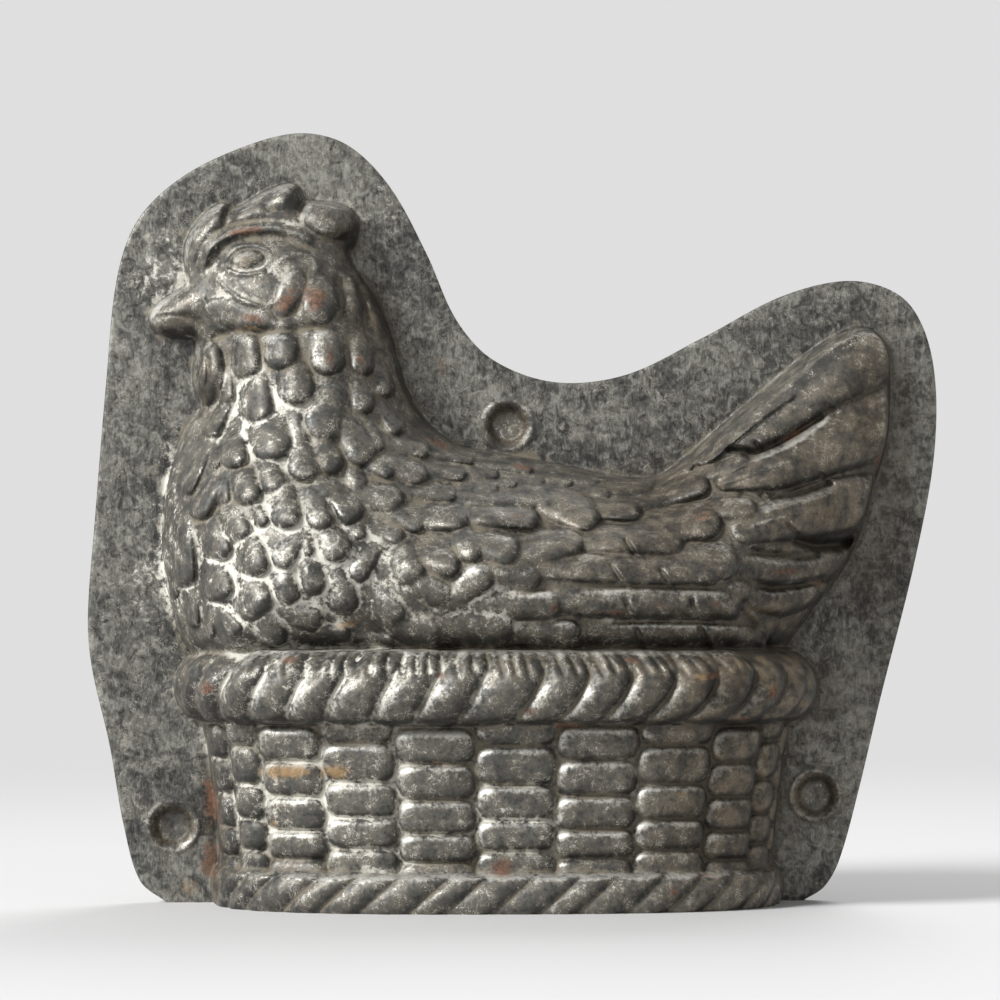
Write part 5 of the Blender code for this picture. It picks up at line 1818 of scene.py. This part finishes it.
class Value:
    """A number that a material works out, for use in formulas.

    Attributes:
        recipe: the material's recipe.
        socket: the socket that gives the number.
    """

    def __init__(self, recipe: "Recipe", socket: bpy.types.NodeSocket) -> None:
        """Hold a socket."""
        self.recipe = recipe
        self.socket = socket

    def __add__(self, other: "Value | float") -> "Value":
        """Return the sum."""
        return self.recipe.math("ADD", self, other)

    def __sub__(self, other: "Value | float") -> "Value":
        """Return the difference."""
        return self.recipe.math("SUBTRACT", self, other)

    def __mul__(self, other: "Value | float") -> "Value":
        """Return the product."""
        return self.recipe.math("MULTIPLY", self, other)

    def __abs__(self) -> "Value":
        """Return the number without its sign."""
        return self.recipe.math("ABSOLUTE", self)


class Recipe:
    """A short way to write a material's nodes.

    Attributes:
        material: the material.
        tree: its nodes.
        shader: the node that shades it.
    """

    def __init__(self, name: str) -> None:
        """Start a material.

        Args:
            name: its name.

        Returns:
            Nothing.
        """
        self.material = bpy.data.materials.new(name)
        self.material.use_nodes = True
        self.tree = self.material.node_tree
        self.shader = self.tree.nodes["Principled BSDF"]

    def wire(self, node: bpy.types.Node, inputs: dict[str | int, object]) -> None:
        """Set a node's inputs.

        Args:
            node: the node.
            inputs: for each input, what to set it to or link it with.

        Returns:
            Nothing.
        """
        for key, value in inputs.items():
            source = value.socket if isinstance(value, Value) else value
            if isinstance(source, bpy.types.NodeSocket):
                self.tree.links.new(source, node.inputs[key])
            else:
                node.inputs[key].default_value = source

    def node(self, kind: str, inputs: dict[str | int, object], **settings: object) -> bpy.types.Node:
        """Add a node.

        Args:
            kind: what kind of node.
            inputs: for each input, what to set it to or link it with.
            settings: the node's other settings.

        Returns:
            The node.
        """
        made = self.tree.nodes.new(kind)
        for setting, value in settings.items():
            setattr(made, setting, value)
        self.wire(made, inputs)
        return made

    def math(self, operation: str, one: object, other: object = 0.0, clamp: bool = False) -> Value:
        """Reckon with one or two numbers.

        Args:
            operation: what to do.
            one: the first number.
            other: the second number.
            clamp: whether the result is kept from 0 to 1.

        Returns:
            The result.
        """
        made = self.node("ShaderNodeMath", {0: one, 1: other}, operation=operation, use_clamp=clamp)
        return Value(self, made.outputs[0])

    def step(self, value: object, low: object, high: object) -> Value:
        """Step smoothly from 0 to 1.

        Args:
            value: the number that is looked at.
            low: where the step starts.
            high: where it ends.

        Returns:
            The step.
        """
        inputs = {"Value": value, "From Min": low, "From Max": high}
        made = self.node("ShaderNodeMapRange", inputs, interpolation_type="SMOOTHSTEP")
        return Value(self, made.outputs[0])

    def between(self, value: object, low: float, high: float) -> Value:
        """Run straight from one number to another.

        Args:
            value: the number that is looked at.
            low: the result where it is 0.
            high: the result where it is 1.

        Returns:
            The result.
        """
        made = self.node("ShaderNodeMapRange", {"Value": value, "To Min": low, "To Max": high})
        return Value(self, made.outputs[0])

    def mix(self, share: object, one: object, other: object) -> Value:
        """Mix two colours.

        Args:
            share: how much of the second there is.
            one: the first, as numbers or from a node.
            other: the second.

        Returns:
            The mixed colour.
        """
        colours = [(*c, 1.0) if isinstance(c, tuple) else c for c in (one, other)]
        made = self.node("ShaderNodeMix", {0: share, 6: colours[0], 7: colours[1]}, data_type="RGBA")
        return Value(self, made.outputs[2])

    def blend(self, share: object, one: object, other: object) -> Value:
        """Blend two numbers.

        Args:
            share: how much of the second there is.
            one: the first.
            other: the second.

        Returns:
            The number between.
        """
        made = self.node("ShaderNodeMix", {0: share, 2: one, 3: other}, data_type="FLOAT")
        return Value(self, made.outputs[0])

    def noise(self, place: object, scale: float, detail: float, rough: float, curl: float = 0.0) -> Value:
        """Make a noise.

        Args:
            place: where in the noise each place lies.
            scale: how fine it is.
            detail: how many finer noises are added.
            rough: how strong those are.
            curl: how far it is dragged into fibres.

        Returns:
            The noise.
        """
        inputs = {"Vector": place, "Scale": scale, "Detail": detail, "Roughness": rough, "Distortion": curl}
        return Value(self, self.node("ShaderNodeTexNoise", inputs).outputs[0])

    def reading(self, name: str) -> Value:
        """Return one of the mesh's readings."""
        return Value(self, self.node("ShaderNodeAttribute", {}, attribute_name=name).outputs["Fac"])


@dataclass(frozen=True)
class TarnishedTin:
    """Old tinned sheet: dark and blotched, bright where it is worn, pale in its creases, with painted shade
    and painted highlight on its small forms and painted shade on its right-hand side.

    Attributes:
        name: the material's name.
        shift: where in the noise this half lies, so that the halves differ.
        deep: the darkest flecks, and the painted shade on the lower right side of each small form.
        dark: the tarnish.
        grey: the plain metal.
        pale: light flecks in it.
        bright: metal worn clean, and the painted highlight on the sides that face up and left.
        brown: the brown film over it.
        soot_and_shade: the dark dirt where the metal was never worn clean, also painted shade on the
            right-hand side and along the gaps of the tail.
        residue: pale dried residue.
        residue_pale: the same at its palest, also the painted highlight on the dimples' floors.
        rust: rust.
        rust_bright: rust at its brightest.
        ochre: old dried sugar.
    """

    name: str
    shift: tuple[float, float, float]
    deep: Colour = (0.020, 0.020, 0.018)
    dark: Colour = (0.080, 0.080, 0.075)
    grey: Colour = (0.165, 0.160, 0.141)
    pale: Colour = (0.350, 0.347, 0.305)
    bright: Colour = (0.74, 0.73, 0.67)
    brown: Colour = (0.140, 0.106, 0.065)
    soot_and_shade: Colour = (0.040, 0.030, 0.019)
    residue: Colour = (0.168, 0.146, 0.106)
    residue_pale: Colour = (0.69, 0.67, 0.595)
    rust: Colour = (0.085, 0.042, 0.025)
    rust_bright: Colour = (0.185, 0.088, 0.048)
    ochre: Colour = (0.30, 0.185, 0.075)

    def material(self) -> bpy.types.Material:
        """Write the finish as a material.

        Returns:
            The material.
        """
        made = Recipe(self.name)
        coords = made.node("ShaderNodeTexCoord", {}).outputs["Object"]
        in_mm = {"Vector": coords, "Location": self.shift, "Scale": (1000.0, 1000.0, 1000.0)}
        place = made.node("ShaderNodeMapping", in_mm).outputs[0]
        drawn_out = {"Vector": place, "Rotation": (0.0, 0.6, 0.0), "Scale": (1.0, 1.0, 0.28)}
        streaky = made.node("ShaderNodeMapping", drawn_out).outputs[0]
        blotches = made.noise(place, 0.075, 4.0, 0.6)
        mottle = made.noise(place, 0.36, 5.0, 0.64)
        fibres = made.noise(place, 0.66, 5.0, 0.62, 0.9)
        scratches = made.noise(streaky, 1.2, 4.0, 0.75, 1.8)
        fine = made.noise(place, 1.5, 5.0, 0.64, 0.5)
        curls = made.noise(place, 0.70, 3.0, 0.6, 0.9)
        crevice, crest, lee, sun, relief = map(made.reading, ("crevice", "crest", "lee", "sun", "relief"))
        rust_place, ochre_place, cream, grime, inside = (
            made.reading(name) for name in ("rust", "ochre", "cream", "grime", "inside")
        )

        # Tarnish under a brown film, with painted shade on the lower right side of every small form
        tone = mottle * 0.6 + blotches * 0.4 - lee * 0.12
        colour = made.mix(made.step(tone, 0.36, 0.64), self.dark, self.grey)
        browned = made.step(mottle, 0.32, 0.60) * made.between(grime, 0.35, 1.0)
        browned = browned * made.between(relief, 0.25, 1.0)
        colour = made.mix(browned, colour, self.brown)
        # Dark dirt, which is also painted shade on the lower right sides and under the stains of dirt and
        # shade
        sooted_and_shaded = made.step(tone, 0.62, 0.40) * made.between(grime, 0.0, 0.85)
        colour = made.mix(sooted_and_shaded, colour, self.soot_and_shade)
        # Painted shade: the lower right side of each small form goes towards the darkest colour, most under
        # the stains of dirt and shade
        shaded = made.step(lee, 0.2, 0.8) * relief
        colour = made.mix(shaded * made.between(grime, 0.6, 0.8), colour, self.deep)

        # Pale and dark fibres, coarse on the flange and finer and fainter on the relief
        on_flange = fibres * 0.6 + scratches * 0.4 + (blotches - 0.5) * 0.25
        on_relief = fine * 0.6 + mottle * 0.4
        flecks = made.blend(relief, on_flange, on_relief)
        pale_flecks = made.step(flecks, made.between(relief, 0.47, 0.52), made.between(relief, 0.645, 0.70))
        pale_flecks = pale_flecks * made.between(grime, 1.0, 0.3)
        colour = made.mix(pale_flecks * made.between(relief, 0.78, 0.6), colour, self.pale)
        dark_flecks = made.step(flecks, made.between(relief, 0.495, 0.485), 0.37)
        colour = made.mix(dark_flecks * made.between(relief, 0.85, 0.6), colour, self.deep)
        curled = made.step(abs(curls - 0.5), 0.016, 0.004) * made.step(mottle, 0.47, 0.60)
        curled = curled * made.between(grime, 0.75, 0.1)
        colour = made.mix(curled * made.between(relief, 0.5, 1.0), colour, self.bright)

        # Metal worn bright on its crests, with a painted highlight on the sides of the small forms that face
        # up and left, fainter under the stains of dirt and shade
        rubbed_and_highlit = sun * 0.26 + crest * 0.13 + made.between(flecks, 0.15, 0.75) - lee * 0.15
        rubbed_and_highlit = made.step(rubbed_and_highlit, 0.545, 0.78) * relief * made.between(grime, 0.95, 0.25)
        colour = made.mix(rubbed_and_highlit, colour, self.bright)

        # Residue dried in the hollows, pale in places and brown in others; it goes dark under the stains of
        # dirt and shade, partly as painted shade, and pale on the dimples' floors as a painted highlight
        patchy = (mottle - 0.5) * 2.8
        ragged = (fine * 0.5 + fibres * 0.5 - 0.5) * 5.0
        settled = crevice * made.between(relief, 0.7, 1.05) + (patchy + ragged)
        settled = settled + made.between(cream, -0.24, 0.12) + cream * made.between(relief, 0.28, 0.0)
        settled = made.step(settled, 0.30, 1.10) * made.between(inside, 1.0, 0.3)
        settled = settled * made.between(shaded, 1.0, 0.35)
        paler = cream + (blotches - 0.5) * 1.8 + (mottle - 0.5) * 0.9
        residue = made.mix(made.step(paler, 0.18, 0.80), self.residue, self.residue_pale)
        residue = made.mix(grime * 0.85, residue, self.soot_and_shade)
        colour = made.mix(settled, colour, residue)

        # Rust and old sugar, each only near its own stains
        ruffled = ragged + patchy
        rusty = made.step(rust_place * 1.5 + ruffled * 0.6, 0.45, 1.15) * made.step(rust_place, 0.05, 0.35)
        rust = made.mix(made.step(fine, 0.4, 0.6), self.rust, self.rust_bright)
        colour = made.mix(rusty * 0.8, colour, rust)
        sugared = made.step(ochre_place * 1.4 + ruffled * 0.6, 0.4, 1.3) * made.step(ochre_place, 0.05, 0.35)
        colour = made.mix(sugared * 0.75, colour, self.ochre)

        covered = made.math("MAXIMUM", settled, made.math("MAXIMUM", rusty, sugared))
        metal = made.between(covered, 0.5, 0.0) * made.between(browned, 1.0, 0.6)
        rough = made.between(flecks, 0.74, 0.24) - sun * 0.12
        rough = made.math("ADD", rough, covered * 0.35, clamp=True)
        height = flecks * 0.6 + mottle * 0.8 + covered * 0.25
        pitted = {"Height": height, "Strength": made.between(relief, 0.5, 0.45), "Distance": 0.0003}
        bump = made.node("ShaderNodeBump", pitted).outputs[0]
        made.wire(made.shader, {"Base Color": colour, "Metallic": metal, "Roughness": rough, "Normal": bump})
        made.wire(made.shader, {"Specular IOR Level": 0.5})
        return made.material


# The two halves


@dataclass
class MouldHalf:
    """One half of the mould: its sheet, and the finish on it.

    Attributes:
        half: which half it is.
        pressing: the relief that both halves share.
        finish: its metal.
        outer_step: the smallest cell of the outer skin.
        outer_tolerance: how far the outer skin may stray.
        inner_step: the smallest cell of the inner skin.
        inner_tolerance: how far the inner skin may stray.
        basket_span: from which x to which the basket's wall is taken as even.
        steepest: the steepest slopes along X and along Z that make cells smaller.
    """

    half: Half
    pressing: Pressing
    finish: TarnishedTin
    outer_step: float = 0.2
    outer_tolerance: float = 0.032
    inner_step: float = 0.3
    inner_tolerance: float = 0.070
    basket_span: Point = (-40.0, 34.0)
    steepest: Point = (6.0, 2.5)

    def build(self) -> bpy.types.Object:
        """Build the half as one closed, finished piece in place of its CAD node.

        Returns:
            The piece.
        """
        places = self.pressing.places
        dimpling = self.pressing.flange.dimpling(places, self.half)
        steep_x, steep_z = self.basket_slopes()
        sheet = SheetMesh(self.half)
        edges = []
        for outer in (True, False):
            heights = (self.pressing.outer if outer else self.pressing.inner) + dimpling
            step = self.outer_step if outer else self.inner_step
            tolerance = self.outer_tolerance if outer else self.inner_tolerance
            skinner = Skinner(places, self.pressing.flange.cut_line(), step, tolerance)
            skin = skinner.make(heights, steep_x, steep_z)
            fields = self.pressing.readings(heights, inside=not outer)
            readings = {name: places.sample(values, skin.x, skin.z) for name, values in fields.items()}
            edges.append(sheet.add_skin(skin, readings, outer))
        sheet.zip_edges(*edges)
        piece = sheet.finish(f"{self.half.value}_pressed_sheet")
        piece.data.materials.append(self.finish.material())
        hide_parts(f"{self.half.value}_half")
        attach(piece, self.half.value)
        return piece

    def basket_slopes(self) -> tuple[Grid, Grid]:
        """Measure how steep the basket stands on average.

        Returns:
            The slope along X for each column of the field, and the slope along Z for each row.
        """
        places = self.pressing.places
        calm = blurred(self.pressing.relief, 0.5 / places.step)
        slope_z, slope_x = np.gradient(calm, places.step)
        on_basket = (places.zs > 0) & (places.zs < self.pressing.basket.rim_top)
        across = (places.xs > self.basket_span[0]) & (places.xs < self.basket_span[1])
        along_x = np.abs(slope_x[on_basket]).mean(axis=0)
        along_z = np.abs(slope_z[:, across]).mean(axis=1)
        return np.minimum(along_x, self.steepest[0]), np.minimum(along_z, self.steepest[1])


# The stage


@dataclass(frozen=True)
class Softbox:
    """A square area lamp.

    Attributes:
        name: its name.
        place: where it is, in metres.
        size: its side, in metres.
        power: in watts.
    """

    name: str
    place: tuple[float, float, float]
    size: float
    power: float

    def build(self) -> bpy.types.Object:
        """Build the lamp, aimed at the mould.

        Returns:
            The lamp.
        """
        lamp = bpy.data.lights.new(self.name, "AREA")
        lamp.size = self.size
        lamp.energy = self.power
        made = bpy.data.objects.new(self.name, lamp)
        made.location = self.place
        aim = Vector((0.0, 0.0, 0.06)) - Vector(self.place)
        made.rotation_euler = aim.to_track_quat("-Z", "Y").to_euler()
        bpy.context.scene.collection.objects.link(made)
        return made


@dataclass
class Studio:
    """A plain pale floor, soft light and the camera of the photograph.

    Attributes:
        floor_half: half the floor's side, in metres.
        floor_colour: the floor's colour.
        fade_from: how far out the floor starts to fade into the background, in metres.
        fade_to: how far out it is all background.
        backdrop: how bright the background looks.
        sky: how bright the even light from all round is.
        lamps: the soft lamps.
        camera_place: where the camera stands, in metres.
        heading: where it looks, in degrees from +Y towards +X.
        pitch: how far it looks up, in degrees.
        lens: its focal length on a 36 mm frame.
    """

    floor_half: float = 6.0
    floor_colour: Colour = (0.66, 0.66, 0.66)
    fade_from: float = 0.16
    fade_to: float = 0.75
    backdrop: Colour = (0.74, 0.74, 0.74)
    sky: float = 0.24
    lamps: tuple[Softbox, ...] = (
        Softbox("window light", (-1.0, -0.65, 0.85), 0.4, 27.0),
        Softbox("fill light", (0.9, -0.9, 0.5), 0.9, 0.7),
        Softbox("back light", (0.4, 1.0, 0.9), 0.8, 9.0),
    )
    camera_place: tuple[float, float, float] = (-0.0376819, -0.7190133, 0.0475)
    heading: float = 2.8112
    pitch: float = 1.6181
    lens: float = 152.93

    def build(self) -> None:
        """Build the floor, the world, the lamps and the camera.

        Returns:
            Nothing.
        """
        self.build_floor()
        self.build_world()
        for lamp in self.lamps:
            lamp.build()
        self.build_camera()

    def build_floor(self) -> None:
        """Add the floor.

        Returns:
            Nothing.
        """
        mesh = bpy.data.meshes.new("floor")
        half = self.floor_half
        corners = [(-half, -half, 0), (half, -half, 0), (half, half, 0), (-half, half, 0)]
        mesh.from_pydata(corners, [], [(0, 1, 2, 3)])
        floor = bpy.data.objects.new("floor", mesh)
        bpy.context.scene.collection.objects.link(floor)
        made = Recipe("pale floor")
        made.wire(made.shader, {"Base Color": (*self.floor_colour, 1.0), "Roughness": 0.7})
        coords = made.node("ShaderNodeTexCoord", {}).outputs["Object"]
        away = made.node("ShaderNodeVectorMath", {0: coords}, operation="LENGTH").outputs["Value"]
        far = made.step(away, self.fade_from, self.fade_to) * seen_by_eye(made.tree)
        glow = made.node("ShaderNodeEmission", {"Color": (*self.backdrop, 1.0)}).outputs[0]
        shown = made.node("ShaderNodeMixShader", {0: far, 1: made.shader.outputs[0], 2: glow}).outputs[0]
        made.wire(made.tree.nodes["Material Output"], {0: shown})
        floor.data.materials.append(made.material)

    def build_world(self) -> None:
        """Set the even light, and a pale background for what the camera and the metal see.

        Returns:
            Nothing.
        """
        world = bpy.data.worlds.new("studio")
        bpy.context.scene.world = world
        world.use_nodes = True
        tree = world.node_tree
        even = tree.nodes["Background"]
        even.inputs["Color"].default_value = (1.0, 1.0, 1.0, 1.0)
        even.inputs["Strength"].default_value = self.sky
        pale = tree.nodes.new("ShaderNodeBackground")
        pale.inputs["Color"].default_value = (*self.backdrop, 1.0)
        mix = tree.nodes.new("ShaderNodeMixShader")
        tree.links.new(seen_by_eye(tree), mix.inputs[0])
        tree.links.new(even.outputs[0], mix.inputs[1])
        tree.links.new(pale.outputs[0], mix.inputs[2])
        tree.links.new(mix.outputs[0], tree.nodes["World Output"].inputs[0])

    def build_camera(self) -> None:
        """Add the camera where the photograph was taken from.

        Returns:
            Nothing.
        """
        camera = bpy.data.cameras.new("camera")
        camera.lens = self.lens
        camera.sensor_width = 36.0
        camera.sensor_fit = "HORIZONTAL"
        camera.clip_start = 0.01
        made = bpy.data.objects.new("camera", camera)
        made.location = self.camera_place
        turn, climb = math.radians(self.heading), math.radians(self.pitch)
        ahead = Vector((math.sin(turn) * math.cos(climb), math.cos(turn) * math.cos(climb), math.sin(climb)))
        made.rotation_euler = ahead.to_track_quat("-Z", "Y").to_euler()
        bpy.context.scene.collection.objects.link(made)
        bpy.context.scene.camera = made


def main() -> None:
    """Build the studio and both halves, and note the sizes.

    Returns:
        Nothing.
    """
    logging.basicConfig(level=logging.INFO, format="%(message)s")
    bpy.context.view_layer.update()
    bpy.context.scene.view_settings.view_transform = "Standard"
    Studio().build()
    pressing = Pressing()
    finishes = {
        Half.FRONT: TarnishedTin("front tarnished tin", (3.0, 5.0, 7.0)),
        Half.BACK: TarnishedTin("back tarnished tin", (41.0, -23.0, 17.0)),
    }
    for half in Half:
        piece = MouldHalf(half, pressing, finishes[half]).build()
        log.info("%s: %d points, %d faces", piece.name, len(piece.data.vertices), len(piece.data.polygons))


if __name__ == "__main__":
    main()
